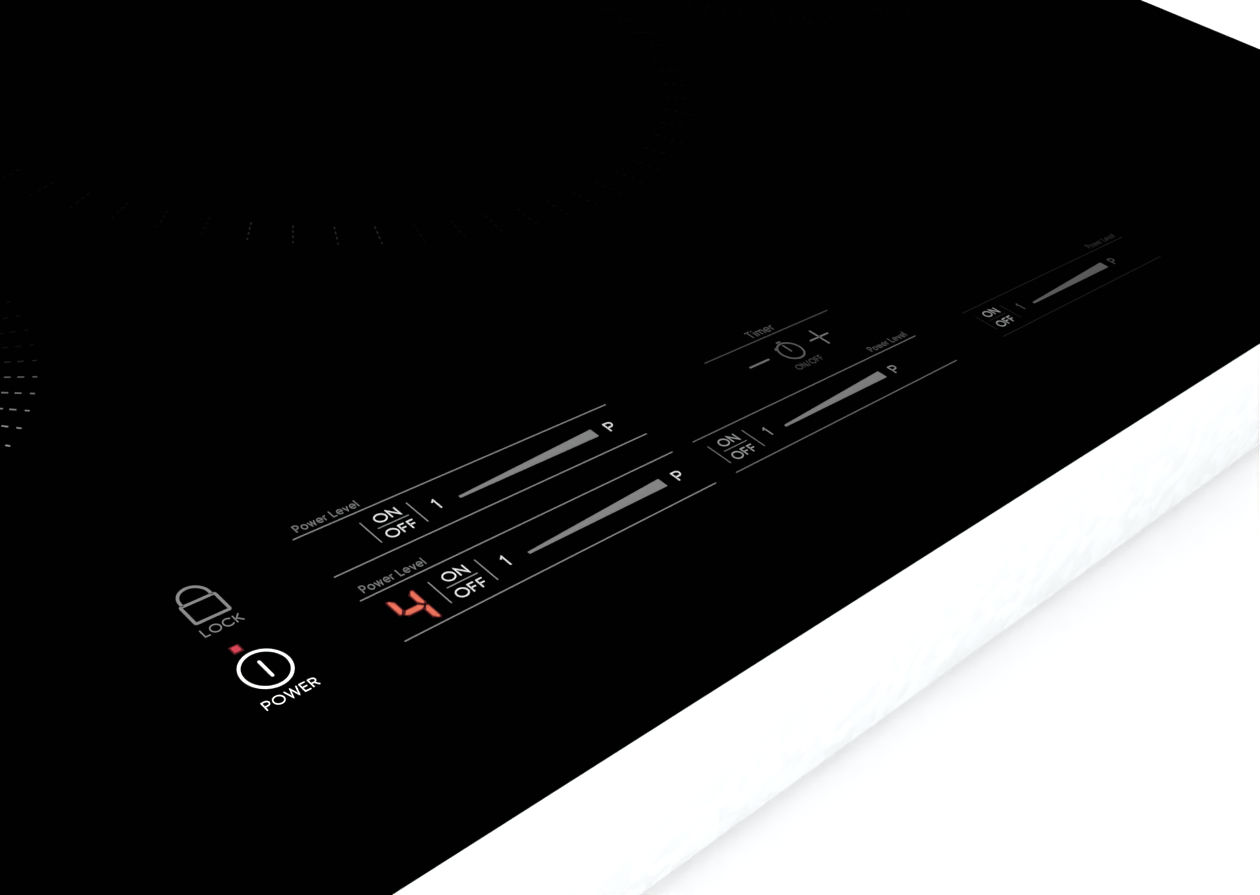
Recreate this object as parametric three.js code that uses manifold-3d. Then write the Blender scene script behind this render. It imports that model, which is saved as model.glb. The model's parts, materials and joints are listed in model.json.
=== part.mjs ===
// Drop-in electric induction cooktop, 30 inch class, built as an assembly.
// Millimetres. +X is the user's right, +Y the back, +Z up.
// The origin is the centre of the underside, level with the pressed feet.
import * as THREE from "three";
import { mergeVertices } from "three/addons/utils/BufferGeometryUtils.js";
import Module from "manifold-3d";

const wasm = await Module();
wasm.setup();

// ---------------------------------------------------------------- driving dimensions

const GLASS_WIDTH = 781;
const GLASS_DEPTH = 546;
const GLASS_THICKNESS = 4;
const GLASS_CORNER = 12;
const GLASS_BEVEL = 0.8;
const TOTAL_HEIGHT = 114;

const BOX_WIDTH = 724;
const BOX_DEPTH = 498;
const BOX_CORNER = 4;
const SHEET = 1.2;
const GAP = 0.3;

// Cooking zones: name, centre and printed radius.
const ZONES = [
  { name: "left_front", x: -237, y: -66, radius: 80, tray: "left" },
  { name: "left_rear", x: -237, y: 127, radius: 101, tray: "left" },
  { name: "centre", x: 0, y: 33, radius: 140, tray: "centre" },
  { name: "right", x: 237, y: 40, radius: 89, tray: "right" },
];

// Coil trays: centre line, half width, front edge and rear edge.
const TRAYS = [
  { name: "left", x: -241, halfWidth: 104, front: -156, rear: 236 },
  { name: "centre", x: 0, halfWidth: 134, front: -116, rear: 182 },
  { name: "right", x: 241, halfWidth: 104, front: -110, rear: 190 },
];

const RAIL_FRONT_Y = -85;
const RAIL_REAR_Y = 135;
const BLOWERS = [
  { name: "left", x: -290, y: -150 },
  { name: "right", x: 60, y: -150 },
];

// ---------------------------------------------------------------- levels that follow from them

const GLASS_BOTTOM = TOTAL_HEIGHT - GLASS_THICKNESS;
const FRAME_TOP = GLASS_BOTTOM - GAP;
const FRAME_FLANGE_BOTTOM = FRAME_TOP - SHEET;
const PAN_TOP = FRAME_FLANGE_BOTTOM - GAP;
const FOOT_HEIGHT = 3;
const FLOOR_TOP = FOOT_HEIGHT + SHEET;

const INSULATOR_TOP = GLASS_BOTTOM - GAP;
const INSULATOR_THICKNESS = 1.2;
const WINDING_TOP = INSULATOR_TOP - INSULATOR_THICKNESS - GAP;
const WINDING_THICKNESS = 4.2;
const FORMER_TOP = WINDING_TOP - WINDING_THICKNESS - GAP;
const FORMER_THICKNESS = 7.6;
const TRAY_TOP = FORMER_TOP - FORMER_THICKNESS - GAP;
const TRAY_SHEET = 1.5;
const TRAY_BOTTOM = TRAY_TOP - TRAY_SHEET;
const TRAY_RIM = 6;
const SPRING_RISE = 8.8;
const SPRING_STRIP = 0.8;
const RAIL_TOP = TRAY_BOTTOM - 2 * GAP - SPRING_STRIP - SPRING_RISE;
const RAIL_HEIGHT = 14;

// ---------------------------------------------------------------- finishes

function finish(color, roughness, metalness) {
  return new THREE.MeshStandardMaterial({ color, roughness, metalness });
}

const FINISH = {
  glass: finish(0x050506, 0.06, 0),
  foam: finish(0x1b1b1c, 0.95, 0),
  galvanised: finish(0xb4b8ba, 0.42, 0.9),
  zincPlated: finish(0xc9c7bd, 0.35, 0.95),
  aluminium: finish(0xc6c8ca, 0.4, 0.95),
  copper: finish(0xb06a3a, 0.35, 0.95),
  mica: finish(0xb9ac90, 0.6, 0),
  blackPlastic: finish(0x161617, 0.5, 0),
  whitePlastic: finish(0xdddbd4, 0.45, 0),
  board: finish(0x1d5a36, 0.5, 0),
  springSteel: finish(0x8d9296, 0.3, 0.95),
  display: finish(0x2a0806, 0.25, 0),
};

// ---------------------------------------------------------------- shape helpers

function toManifold(geometry) {
  const bare = geometry.clone();
  for (const attribute of Object.keys(bare.attributes)) {
    if (attribute !== "position") {
      bare.deleteAttribute(attribute);
    }
  }
  const merged = mergeVertices(bare, 1e-4);
  const mesh = new wasm.Mesh({
    numProp: 3,
    vertProperties: merged.attributes.position.array,
    triVerts: Uint32Array.from(merged.index.array),
  });
  return new wasm.Manifold(mesh);
}

function toGeometry(manifold) {
  const mesh = manifold.getMesh();
  const geometry = new THREE.BufferGeometry();
  geometry.setAttribute("position", new THREE.BufferAttribute(mesh.vertProperties, 3));
  geometry.setIndex(new THREE.BufferAttribute(mesh.triVerts, 1));
  geometry.computeVertexNormals();
  return geometry;
}

function join(...geometries) {
  return toGeometry(geometries.map(toManifold).reduce((sum, next) => sum.add(next)));
}

function cut(base, ...tools) {
  return toGeometry(tools.map(toManifold).reduce((rest, tool) => rest.subtract(tool), toManifold(base)));
}

function block(x0, x1, y0, y1, z0, z1) {
  const geometry = new THREE.BoxGeometry(x1 - x0, y1 - y0, z1 - z0);
  return geometry.translate((x0 + x1) / 2, (y0 + y1) / 2, (z0 + z1) / 2);
}

// A flat shape in XY raised from one level to another.
function slab(shape, bottom, top, curveSegments = 3) {
  const geometry = new THREE.ExtrudeGeometry(shape, {
    depth: top - bottom,
    bevelEnabled: false,
    curveSegments,
  });
  return geometry.translate(0, 0, bottom);
}

function roundRect(width, depth, radius, path = new THREE.Shape()) {
  const x = width / 2 - radius;
  const y = depth / 2 - radius;
  path.absarc(x, -y, radius, -Math.PI / 2, 0);
  path.absarc(x, y, radius, 0, Math.PI / 2);
  path.absarc(-x, y, radius, Math.PI / 2, Math.PI);
  path.absarc(-x, -y, radius, Math.PI, 1.5 * Math.PI);
  return path;
}

function rectRing(width, depth, radius, border) {
  const shape = roundRect(width, depth, radius);
  const inner = Math.max(radius - border, 1);
  shape.holes.push(roundRect(width - 2 * border, depth - 2 * border, inner, new THREE.Path()));
  return shape;
}

function disc(radius, holeRadius = 0) {
  const shape = new THREE.Shape();
  shape.absarc(0, 0, radius, 0, 2 * Math.PI);
  if (holeRadius > 0) {
    shape.holes.push(new THREE.Path().absarc(0, 0, holeRadius, 0, 2 * Math.PI));
  }
  return shape;
}

function cylinder(radius, bottom, top, sides = 16, x = 0, y = 0) {
  const geometry = new THREE.CylinderGeometry(radius, radius, top - bottom, sides);
  return geometry.rotateX(Math.PI / 2).translate(x, y, (bottom + top) / 2);
}

// A solid of revolution about Z from [radius, height] pairs.
function turned(profile, sides) {
  const points = profile.map(([radius, height]) => new THREE.Vector2(radius, height));
  return new THREE.LatheGeometry(points, sides).rotateX(Math.PI / 2);
}

// A section drawn in YZ and pulled along X from x0 to x1.
function pulledAlongX(points, x0, x1) {
  const shape = new THREE.Shape(points.map(([y, z]) => new THREE.Vector2(y, z)));
  const geometry = new THREE.ExtrudeGeometry(shape, { depth: x1 - x0, bevelEnabled: false });
  geometry.applyMatrix4(new THREE.Matrix4().set(0, 0, 1, x0, 1, 0, 0, 0, 0, 1, 0, 0, 0, 0, 0, 1));
  return geometry;
}

// A section drawn in XZ and pulled along Y from y0 to y1.
function pulledAlongY(points, y0, y1) {
  const shape = new THREE.Shape(points.map(([x, z]) => new THREE.Vector2(x, z)));
  const geometry = new THREE.ExtrudeGeometry(shape, { depth: y1 - y0, bevelEnabled: false });
  return geometry.rotateX(Math.PI / 2).translate(0, y1, 0);
}

const model = new THREE.Group();

function addPart(name, geometry, material, parent = model) {
  const mesh = new THREE.Mesh(geometry, material);
  mesh.name = name;
  parent.add(mesh);
}

// ---------------------------------------------------------------- glass, gasket and frame

function glassTop() {
  const shape = roundRect(GLASS_WIDTH, GLASS_DEPTH, GLASS_CORNER);
  const geometry = new THREE.ExtrudeGeometry(shape, {
    depth: GLASS_THICKNESS - 2 * GLASS_BEVEL,
    bevelThickness: GLASS_BEVEL,
    bevelSize: GLASS_BEVEL,
    bevelOffset: -GLASS_BEVEL,
    bevelSegments: 2,
    curveSegments: 3,
  });
  return geometry.translate(0, 0, GLASS_BOTTOM + GLASS_BEVEL);
}

const GASKET_INSET = 5;
const GASKET_WIDTH = 11;
const GASKET_THICKNESS = 3;
const FRAME_OVERHANG = 5;
const FRAME_FLANGE = 16;
const FRAME_CORNER = 6;
const FRAME_LEG = 18;

function edgeGasket() {
  const width = GLASS_WIDTH - 2 * GASKET_INSET;
  const depth = GLASS_DEPTH - 2 * GASKET_INSET;
  const top = GLASS_BOTTOM - GAP;
  return slab(rectRing(width, depth, GLASS_CORNER - GASKET_INSET, GASKET_WIDTH), top - GASKET_THICKNESS, top);
}

function glassSupportFrame() {
  const outerWidth = BOX_WIDTH + 2 * FRAME_OVERHANG;
  const outerDepth = BOX_DEPTH + 2 * FRAME_OVERHANG;
  const flange = rectRing(outerWidth, outerDepth, FRAME_CORNER, FRAME_FLANGE);
  const inset = 2 * (SHEET + GAP);
  const leg = rectRing(BOX_WIDTH - inset, BOX_DEPTH - inset, BOX_CORNER - SHEET, SHEET);
  return join(
    slab(flange, FRAME_FLANGE_BOTTOM, FRAME_TOP),
    slab(leg, FRAME_FLANGE_BOTTOM - FRAME_LEG, FRAME_TOP - SHEET / 2),
  );
}

addPart("glass_top", glassTop(), FINISH.glass);
addPart("edge_gasket", edgeGasket(), FINISH.foam);
addPart("glass_support_frame", glassSupportFrame(), FINISH.galvanised);

// ---------------------------------------------------------------- base pan

// The supply recess takes the rear right bottom corner of the box.
const RECESS_WIDTH = 100;
const RECESS_DEPTH = 50;
const RECESS_TOP = 58;
const RECESS_LEFT = BOX_WIDTH / 2 - RECESS_WIDTH;
const RECESS_WALL_Y = BOX_DEPTH / 2 - RECESS_DEPTH;
const CONDUIT_X = 312;
const CONDUIT_Z = 30;
const CONDUIT_HOLE = 14;

const FOOT_X = 200;
const FOOT_Y = 150;
const FOOT_WIDTH = 80;
const FOOT_DEPTH = 50;
const FOOT_CORNER = 10;

const INLET_RADIUS = 40;
const SLOT_WIDTH = 4.5;
const SLOT_PITCH = 10;
const OUTLET_BANKS = [-254, 96];
const OUTLET_SLOTS = 9;
const OUTLET_BOTTOM = 24;
const OUTLET_TOP = 58;
const TERMINAL_X = 300;
const TERMINAL_Y = 150;
const TERMINAL_HOLE_WIDTH = 70;
const TERMINAL_HOLE_DEPTH = 50;

// The four pressed feet, drawn in from their outline by an inset.
function feet(inset, bottom, top) {
  const solids = [];
  for (const sideX of [-1, 1]) {
    for (const sideY of [-1, 1]) {
      const shape = roundRect(FOOT_WIDTH - 2 * inset, FOOT_DEPTH - 2 * inset, FOOT_CORNER - inset);
      solids.push(slab(shape, bottom, top, 2).translate(sideX * FOOT_X, sideY * FOOT_Y, 0));
    }
  }
  return solids;
}

// Air inlet under one blower: parallel slots that fill a circle.
function inletSlots(blower) {
  const slots = [];
  const rows = Math.floor(INLET_RADIUS / SLOT_PITCH) - 1;
  for (let row = -rows; row <= rows; row += 1) {
    const offset = row * SLOT_PITCH;
    const half = Math.sqrt(INLET_RADIUS ** 2 - offset ** 2);
    const front = blower.y + offset - SLOT_WIDTH / 2;
    slots.push(block(blower.x - half, blower.x + half, front, front + SLOT_WIDTH, 0, 2 * FLOOR_TOP));
  }
  return slots;
}

// Air outlet: a bank of upright slots through the rear wall.
function outletSlots(centreX) {
  const slots = [];
  for (let index = 0; index < OUTLET_SLOTS; index += 1) {
    const left = centreX + (index - (OUTLET_SLOTS - 1) / 2) * SLOT_PITCH - SLOT_WIDTH / 2;
    const wall = BOX_DEPTH / 2;
    slots.push(block(left, left + SLOT_WIDTH, wall - 5, wall + 5, OUTLET_BOTTOM, OUTLET_TOP));
  }
  return slots;
}

function basePan() {
  const wall = SHEET;
  const outside = join(
    slab(roundRect(BOX_WIDTH, BOX_DEPTH, BOX_CORNER), FOOT_HEIGHT, PAN_TOP),
    ...feet(0, 0, FLOOR_TOP - wall / 2),
  );
  const inside = join(
    slab(roundRect(BOX_WIDTH - 2 * wall, BOX_DEPTH - 2 * wall, BOX_CORNER - wall), FLOOR_TOP, PAN_TOP + 5),
    ...feet(wall, wall, FLOOR_TOP + wall / 2),
  );
  const far = BOX_WIDTH;
  const hollow = cut(inside, block(RECESS_LEFT - wall, far, RECESS_WALL_Y - wall, far, -5, RECESS_TOP + wall));
  const conduitHole = cylinder(CONDUIT_HOLE, -5, 5, 20).rotateX(Math.PI / 2);
  return cut(
    outside,
    block(RECESS_LEFT, far, RECESS_WALL_Y, far, -5, RECESS_TOP),
    hollow,
    conduitHole.translate(CONDUIT_X, RECESS_WALL_Y, CONDUIT_Z),
    block(
      TERMINAL_X - TERMINAL_HOLE_WIDTH / 2,
      TERMINAL_X + TERMINAL_HOLE_WIDTH / 2,
      TERMINAL_Y - TERMINAL_HOLE_DEPTH / 2,
      TERMINAL_Y + TERMINAL_HOLE_DEPTH / 2,
      0,
      2 * FLOOR_TOP,
    ),
    ...BLOWERS.flatMap(inletSlots),
    ...OUTLET_BANKS.flatMap(outletSlots),
  );
}

addPart("base_pan", basePan(), FINISH.galvanised);

// ---------------------------------------------------------------- supply: cover, block, connector

const COVER_BORDER = 11;
const COVER_CORNER = 5;

const POLE_PITCH = 18;
const PARTITION = 2.4;
const POLE_REACH = 1.5 * POLE_PITCH + PARTITION / 2;
const POLE_SHOULDER = 12;
const PARTITION_TOP = 20;
const TERMINAL_BLOCK_FRONT = 97;
const TERMINAL_BLOCK_DEPTH = 22;

const NUT_OUTER = 18;
const NUT_THICKNESS = 4;
const CONNECTOR_BORE = 9.5;
const CONNECTOR_SHANK = 10;
const CONNECTOR_SHOULDER = 4.5;
const CONNECTOR_BARREL = 15.5;
const CONNECTOR_LENGTH = 34;
const EAR_SPAN = 22;

function terminalCover() {
  const width = TERMINAL_HOLE_WIDTH + 2 * COVER_BORDER;
  const depth = TERMINAL_HOLE_DEPTH + 2 * COVER_BORDER;
  const top = FOOT_HEIGHT - GAP;
  return slab(roundRect(width, depth, COVER_CORNER), top - SHEET, top).translate(TERMINAL_X, TERMINAL_Y, 0);
}

// Three poles between four raised partitions.
function terminalBlock() {
  const base = block(-POLE_REACH, POLE_REACH, 0, TERMINAL_BLOCK_DEPTH, 0, POLE_SHOULDER);
  const partitions = [-1.5, -0.5, 0.5, 1.5].map((place) => {
    const x = place * POLE_PITCH;
    return block(x - PARTITION / 2, x + PARTITION / 2, 0, TERMINAL_BLOCK_DEPTH, 0, PARTITION_TOP);
  });
  return join(base, ...partitions).translate(TERMINAL_X, TERMINAL_BLOCK_FRONT, FLOOR_TOP + GAP);
}

// Straight conduit connector: threaded shank, shoulder, barrel and clamp ears.
function conduitConnector() {
  const shank = CONDUIT_HOLE - GAP;
  const profile = [
    [CONNECTOR_BORE, -CONNECTOR_SHANK],
    [shank, -CONNECTOR_SHANK],
    [shank, GAP],
    [NUT_OUTER, GAP],
    [NUT_OUTER, CONNECTOR_SHOULDER],
    [CONNECTOR_BARREL, CONNECTOR_SHOULDER + 1.5],
    [CONNECTOR_BARREL, CONNECTOR_LENGTH],
    [CONNECTOR_BORE, CONNECTOR_LENGTH],
    [CONNECTOR_BORE, -CONNECTOR_SHANK],
  ];
  const ears = block(-EAR_SPAN, EAR_SPAN, -3.5, 3.5, 16, 30);
  const clearance = cylinder(CONNECTOR_BORE + 2, 0, 40, 16);
  const body = join(turned(profile, 20), cut(ears, clearance));
  return body.rotateX(-Math.PI / 2).translate(CONDUIT_X, RECESS_WALL_Y, CONDUIT_Z);
}

function conduitLocknut() {
  const nut = cut(cylinder(NUT_OUTER, 0, NUT_THICKNESS, 6), cylinder(CONDUIT_HOLE, -5, 9, 20));
  const y = RECESS_WALL_Y - SHEET - GAP - NUT_THICKNESS;
  return nut.rotateX(-Math.PI / 2).translate(CONDUIT_X, y, CONDUIT_Z);
}

addPart("terminal_cover", terminalCover(), FINISH.galvanised);
addPart("terminal_block", terminalBlock(), FINISH.whitePlastic);
addPart("conduit_connector", conduitConnector(), FINISH.zincPlated);
addPart("conduit_locknut", conduitLocknut(), FINISH.zincPlated);

// ---------------------------------------------------------------- hold-down brackets and screws

const BRACKET_Y = 150;
const BRACKET_WIDTH = 40;
const BRACKET_SHEET = 2;
const BRACKET_REACH = 26;
const BRACKET_FOOT_TOP = 45;
const BRACKET_LEG_BOTTOM = 14;
const SCREW_RADIUS = 2.5;
const SCREW_X = BOX_WIDTH / 2 + 17;
const SCREW_BOTTOM = 11.5;
const SCREW_TOP = 50;
const SCREW_HEAD = 4;
const SCREW_CAP = 3;
const HEXAGON_RADIUS = 5;
const WELD_NUT_HEIGHT = 4;

// Bracket for the right wall, centred on y = 0. The left ones are turned half round.
function holdDownBracket() {
  const wall = BOX_WIDTH / 2 + GAP;
  const top = BRACKET_FOOT_TOP;
  const sheet = BRACKET_SHEET;
  const section = [
    [wall, BRACKET_LEG_BOTTOM],
    [wall + sheet, BRACKET_LEG_BOTTOM],
    [wall + sheet, top - sheet],
    [wall + BRACKET_REACH, top - sheet],
    [wall + BRACKET_REACH, top],
    [wall, top],
  ];
  const angle = pulledAlongY(section, -BRACKET_WIDTH / 2, BRACKET_WIDTH / 2);
  const nut = cylinder(HEXAGON_RADIUS, top - sheet - WELD_NUT_HEIGHT, top - sheet / 2, 6, SCREW_X);
  return cut(join(angle, nut), cylinder(SCREW_RADIUS + GAP, 30, 60, 12, SCREW_X));
}

// Clamp screw: hexagon head below the bracket, swivel cap above it.
function clampScrew() {
  const head = cylinder(HEXAGON_RADIUS, SCREW_BOTTOM, SCREW_BOTTOM + SCREW_HEAD, 6, SCREW_X);
  const shank = cylinder(SCREW_RADIUS, SCREW_BOTTOM + SCREW_HEAD / 2, SCREW_TOP - SCREW_CAP / 2, 12, SCREW_X);
  const cap = cylinder(HEXAGON_RADIUS, SCREW_TOP - SCREW_CAP, SCREW_TOP, 12, SCREW_X);
  return join(head, shank, cap);
}

const CORNERS = [
  { name: "right_rear", turn: 0, y: BRACKET_Y },
  { name: "right_front", turn: 0, y: -BRACKET_Y },
  { name: "left_front", turn: Math.PI, y: -BRACKET_Y },
  { name: "left_rear", turn: Math.PI, y: BRACKET_Y },
];

for (const corner of CORNERS) {
  const group = new THREE.Group();
  group.position.y = corner.y;
  group.rotation.z = corner.turn;
  addPart(`holddown_bracket_${corner.name}`, holdDownBracket(), FINISH.galvanised, group);
  addPart(`clamp_screw_${corner.name}`, clampScrew(), FINISH.zincPlated, group);
  model.add(group);
}

// ---------------------------------------------------------------- rails, trays and springs

const RAIL_WIDTH = 24;
const RAIL_TAB_DROP = 26;
const TRAY_CORNER = 8;
const SENSOR_HOLE = 8;
const SPRING_WIDTH = 30;
const SPRING_STEPS = 14;

// Channel open downwards, with a tab at each end that is screwed to the side wall.
function coilRail(y) {
  const end = BOX_WIDTH / 2 - SHEET - GAP;
  const half = RAIL_WIDTH / 2;
  const bottom = RAIL_TOP - RAIL_HEIGHT;
  const section = [
    [y - half, bottom],
    [y - half + SHEET, bottom],
    [y - half + SHEET, RAIL_TOP - SHEET],
    [y + half - SHEET, RAIL_TOP - SHEET],
    [y + half - SHEET, bottom],
    [y + half, bottom],
    [y + half, RAIL_TOP],
    [y - half, RAIL_TOP],
  ];
  const tab = (x) => block(x, x + SHEET, y - half, y + half, RAIL_TOP - RAIL_TAB_DROP, RAIL_TOP);
  return join(pulledAlongX(section, -end, end), tab(-end), tab(end - SHEET));
}

// Shallow tray with a cooling window under each quarter of a coil.
function coilTray(tray) {
  const width = 2 * tray.halfWidth;
  const depth = tray.rear - tray.front;
  const centreY = (tray.front + tray.rear) / 2;
  const rim = TRAY_SHEET;
  const rimTop = TRAY_TOP + TRAY_RIM;
  const hollow = roundRect(width - 2 * rim, depth - 2 * rim, TRAY_CORNER - rim);
  const outside = slab(roundRect(width, depth, TRAY_CORNER), TRAY_BOTTOM, rimTop, 2);
  const inside = slab(hollow, TRAY_TOP, rimTop + 5, 2);
  const holes = [];
  for (const zone of ZONES.filter((candidate) => candidate.tray === tray.name)) {
    const x = zone.x - tray.x;
    const y = zone.y - centreY;
    const reach = 0.55 * zone.radius;
    holes.push(cylinder(SENSOR_HOLE, TRAY_BOTTOM - 5, TRAY_TOP + 5, 8, x, y));
    for (let quarter = 0; quarter < 4; quarter += 1) {
      const angle = (quarter + 0.5) * Math.PI / 2;
      const holeX = x + reach * Math.cos(angle);
      const holeY = y + reach * Math.sin(angle);
      holes.push(cylinder(0.16 * zone.radius, TRAY_BOTTOM - 5, TRAY_TOP + 5, 10, holeX, holeY));
    }
  }
  return cut(outside, inside, ...holes).translate(tray.x, centreY, 0);
}

// Bowed strip that stands on both rails and lifts the tray at its crown.
function leafSpring(x) {
  const middle = (RAIL_FRONT_Y + RAIL_REAR_Y) / 2;
  const half = (RAIL_REAR_Y - RAIL_FRONT_Y) / 2 + 8;
  const lower = [];
  const upper = [];
  for (let step = 0; step <= SPRING_STEPS; step += 1) {
    const along = 2 * step / SPRING_STEPS - 1;
    const z = RAIL_TOP + GAP + SPRING_RISE * Math.cos(along * Math.PI / 2) ** 2;
    lower.push([middle + along * half, z]);
    upper.unshift([middle + along * half, z + SPRING_STRIP]);
  }
  return pulledAlongX([...lower, ...upper], x - SPRING_WIDTH / 2, x + SPRING_WIDTH / 2);
}

addPart("coil_rail_front", coilRail(RAIL_FRONT_Y), FINISH.galvanised);
addPart("coil_rail_rear", coilRail(RAIL_REAR_Y), FINISH.galvanised);
for (const tray of TRAYS) {
  addPart(`coil_tray_${tray.name}`, coilTray(tray), FINISH.aluminium);
  addPart(`leaf_spring_${tray.name}`, leafSpring(tray.x), FINISH.springSteel);
}

// ---------------------------------------------------------------- coil units

const COIL_SIDES = 14;
const FORMER_BARS = 8;
const FORMER_BAR_HALF = 7;
const HUB_HOLE = 14;
const HUB_RADIUS = 24;
const SENSOR_STEM = 4;
const SENSOR_HEAD = 7;

// Former: hub, rim and the radial channels that hold the ferrite bars.
function coilFormer(radius) {
  const shape = disc(radius, HUB_HOLE);
  const inner = HUB_RADIUS;
  const outer = radius - 5;
  const innerTrim = Math.asin(FORMER_BAR_HALF / inner);
  const outerTrim = Math.asin(FORMER_BAR_HALF / outer);
  for (let bar = 0; bar < FORMER_BARS; bar += 1) {
    const from = bar * 2 * Math.PI / FORMER_BARS;
    const to = from + 2 * Math.PI / FORMER_BARS;
    const window = new THREE.Path();
    const middle = (from + to) / 2;
    window.moveTo(inner * Math.cos(from + innerTrim), inner * Math.sin(from + innerTrim));
    for (let step = 0; step <= 4; step += 1) {
      const angle = from + outerTrim + (to - from - 2 * outerTrim) * step / 4;
      window.lineTo(outer * Math.cos(angle), outer * Math.sin(angle));
    }
    window.lineTo(inner * Math.cos(to - innerTrim), inner * Math.sin(to - innerTrim));
    window.lineTo(inner * Math.cos(middle), inner * Math.sin(middle));
    shape.holes.push(window);
  }
  return slab(shape, FORMER_TOP - FORMER_THICKNESS, FORMER_TOP, COIL_SIDES);
}

// Temperature sensor: stem in the hub, head pressed to the glass.
function coilSensor() {
  const top = INSULATOR_TOP - GAP;
  const bottom = TRAY_TOP + 1;
  const profile = [
    [0, bottom],
    [SENSOR_STEM, bottom],
    [SENSOR_STEM, bottom + 4],
    [SENSOR_HEAD, bottom + 5],
    [SENSOR_HEAD, top - 1],
    [SENSOR_HEAD - 1, top],
    [0, top],
  ];
  return turned(profile, 12);
}

for (const zone of ZONES) {
  const group = new THREE.Group();
  group.position.set(zone.x, zone.y, 0);
  const radius = 0.93 * zone.radius;
  const insulator = slab(disc(radius, 10), INSULATOR_TOP - INSULATOR_THICKNESS, INSULATOR_TOP, COIL_SIDES);
  const winding = slab(disc(radius - 6, HUB_RADIUS), WINDING_TOP - WINDING_THICKNESS, WINDING_TOP, COIL_SIDES);
  addPart(`coil_insulator_${zone.name}`, insulator, FINISH.mica, group);
  addPart(`coil_winding_${zone.name}`, winding, FINISH.copper, group);
  addPart(`coil_former_${zone.name}`, coilFormer(radius), FINISH.blackPlastic, group);
  addPart(`coil_sensor_${zone.name}`, coilSensor(), FINISH.whitePlastic, group);
  model.add(group);
}

// ---------------------------------------------------------------- power electronics

const BOARD_BOTTOM = 12;
const BOARD_THICKNESS = 1.6;
const BOARD_TOP = BOARD_BOTTOM + BOARD_THICKNESS;
const HEATSINK_WIDTH = 70;
const HEATSINK_HEIGHT = 40;
const HEATSINK_FINS = 9;
const HEATSINK_BASE = 5;
const HEATSINK_FRONT = -84;
const HEATSINK_REAR = 36;
const CAPACITOR_WIDTH = 42;
const CAPACITOR_DEPTH = 28;
const CAPACITOR_HEIGHT = 36;

const MODULES = [
  { name: "left", board: [-345, -140, -88, 112], sinkX: -254, capacitor: [-180, 70] },
  { name: "right", board: [10, 215, -88, 112], sinkX: 96, capacitor: [178, 70] },
];

// Extruded heatsink with upright fins that run front to back.
function heatsink(centreX) {
  const fin = 2.2;
  const bottom = BOARD_TOP + GAP;
  const top = bottom + HEATSINK_HEIGHT;
  const pitch = (HEATSINK_WIDTH - fin) / (HEATSINK_FINS - 1);
  const left = centreX - HEATSINK_WIDTH / 2;
  const points = [[left, bottom], [left + HEATSINK_WIDTH, bottom]];
  for (let index = HEATSINK_FINS - 1; index >= 0; index -= 1) {
    const x = left + index * pitch;
    if (index < HEATSINK_FINS - 1) {
      points.push([x + fin, bottom + HEATSINK_BASE]);
    }
    points.push([x + fin, top], [x, top]);
    if (index > 0) {
      points.push([x, bottom + HEATSINK_BASE]);
    }
  }
  return pulledAlongY(points, HEATSINK_FRONT, HEATSINK_REAR);
}

for (const module of MODULES) {
  const [x0, x1, y0, y1] = module.board;
  const board = slab(roundRect(x1 - x0, y1 - y0, 4), BOARD_BOTTOM, BOARD_TOP, 1);
  board.translate((x0 + x1) / 2, (y0 + y1) / 2, 0);
  const outline = roundRect(CAPACITOR_WIDTH, CAPACITOR_DEPTH, 3);
  const capacitor = slab(outline, BOARD_TOP + GAP, BOARD_TOP + CAPACITOR_HEIGHT, 2);
  capacitor.translate(module.capacitor[0], module.capacitor[1], 0);
  addPart(`inverter_board_${module.name}`, board, FINISH.board);
  addPart(`heatsink_${module.name}`, heatsink(module.sinkX), FINISH.aluminium);
  addPart(`filter_capacitor_${module.name}`, capacitor, FINISH.blackPlastic);
}

const FILTER_X = 290;
const FILTER_Y = 14;
const FILTER_WIDTH = 112;
const FILTER_DEPTH = 148;
const CHOKE_RADIUS = 17;
const CHOKE_TUBE = 8;

function filterBoard() {
  const outline = roundRect(FILTER_WIDTH, FILTER_DEPTH, 4);
  return slab(outline, BOARD_BOTTOM, BOARD_TOP, 1).translate(FILTER_X, FILTER_Y, 0);
}

// Toroidal choke standing on edge on the filter board.
function filterChoke() {
  const section = [];
  for (let step = 0; step <= 8; step += 1) {
    const angle = step * Math.PI / 4;
    section.push([CHOKE_RADIUS + CHOKE_TUBE * Math.cos(angle), CHOKE_TUBE * Math.sin(angle)]);
  }
  const rise = BOARD_TOP + GAP + CHOKE_RADIUS + CHOKE_TUBE;
  return turned(section, 20).rotateY(Math.PI / 2).translate(FILTER_X, FILTER_Y + 18, rise);
}

addPart("filter_board", filterBoard(), FINISH.board);
addPart("filter_choke", filterChoke(), FINISH.copper);

// ---------------------------------------------------------------- blowers

const SCROLL_START = 38;
const SCROLL_GROWTH = 14;
const SCROLL_WALL = 1.8;
const SCROLL_LIP_X = 20;
const SCROLL_OUTLET_Y = 56;
const BLOWER_FLOOR = 8;
const BLOWER_WALL_TOP = 36;
const COVER_TOP = 38;
const INLET_EYE = 24;
const AXLE_RADIUS = 2.5;
const IMPELLER_RADIUS = 33;
const IMPELLER_HUB = 16;
const IMPELLER_TOP = 32;
const IMPELLER_BOTTOM = 12.5;
const BLADES = 16;
const BLADE_RADIUS = 28;
const BLADE_PITCH = 0.6;

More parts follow.
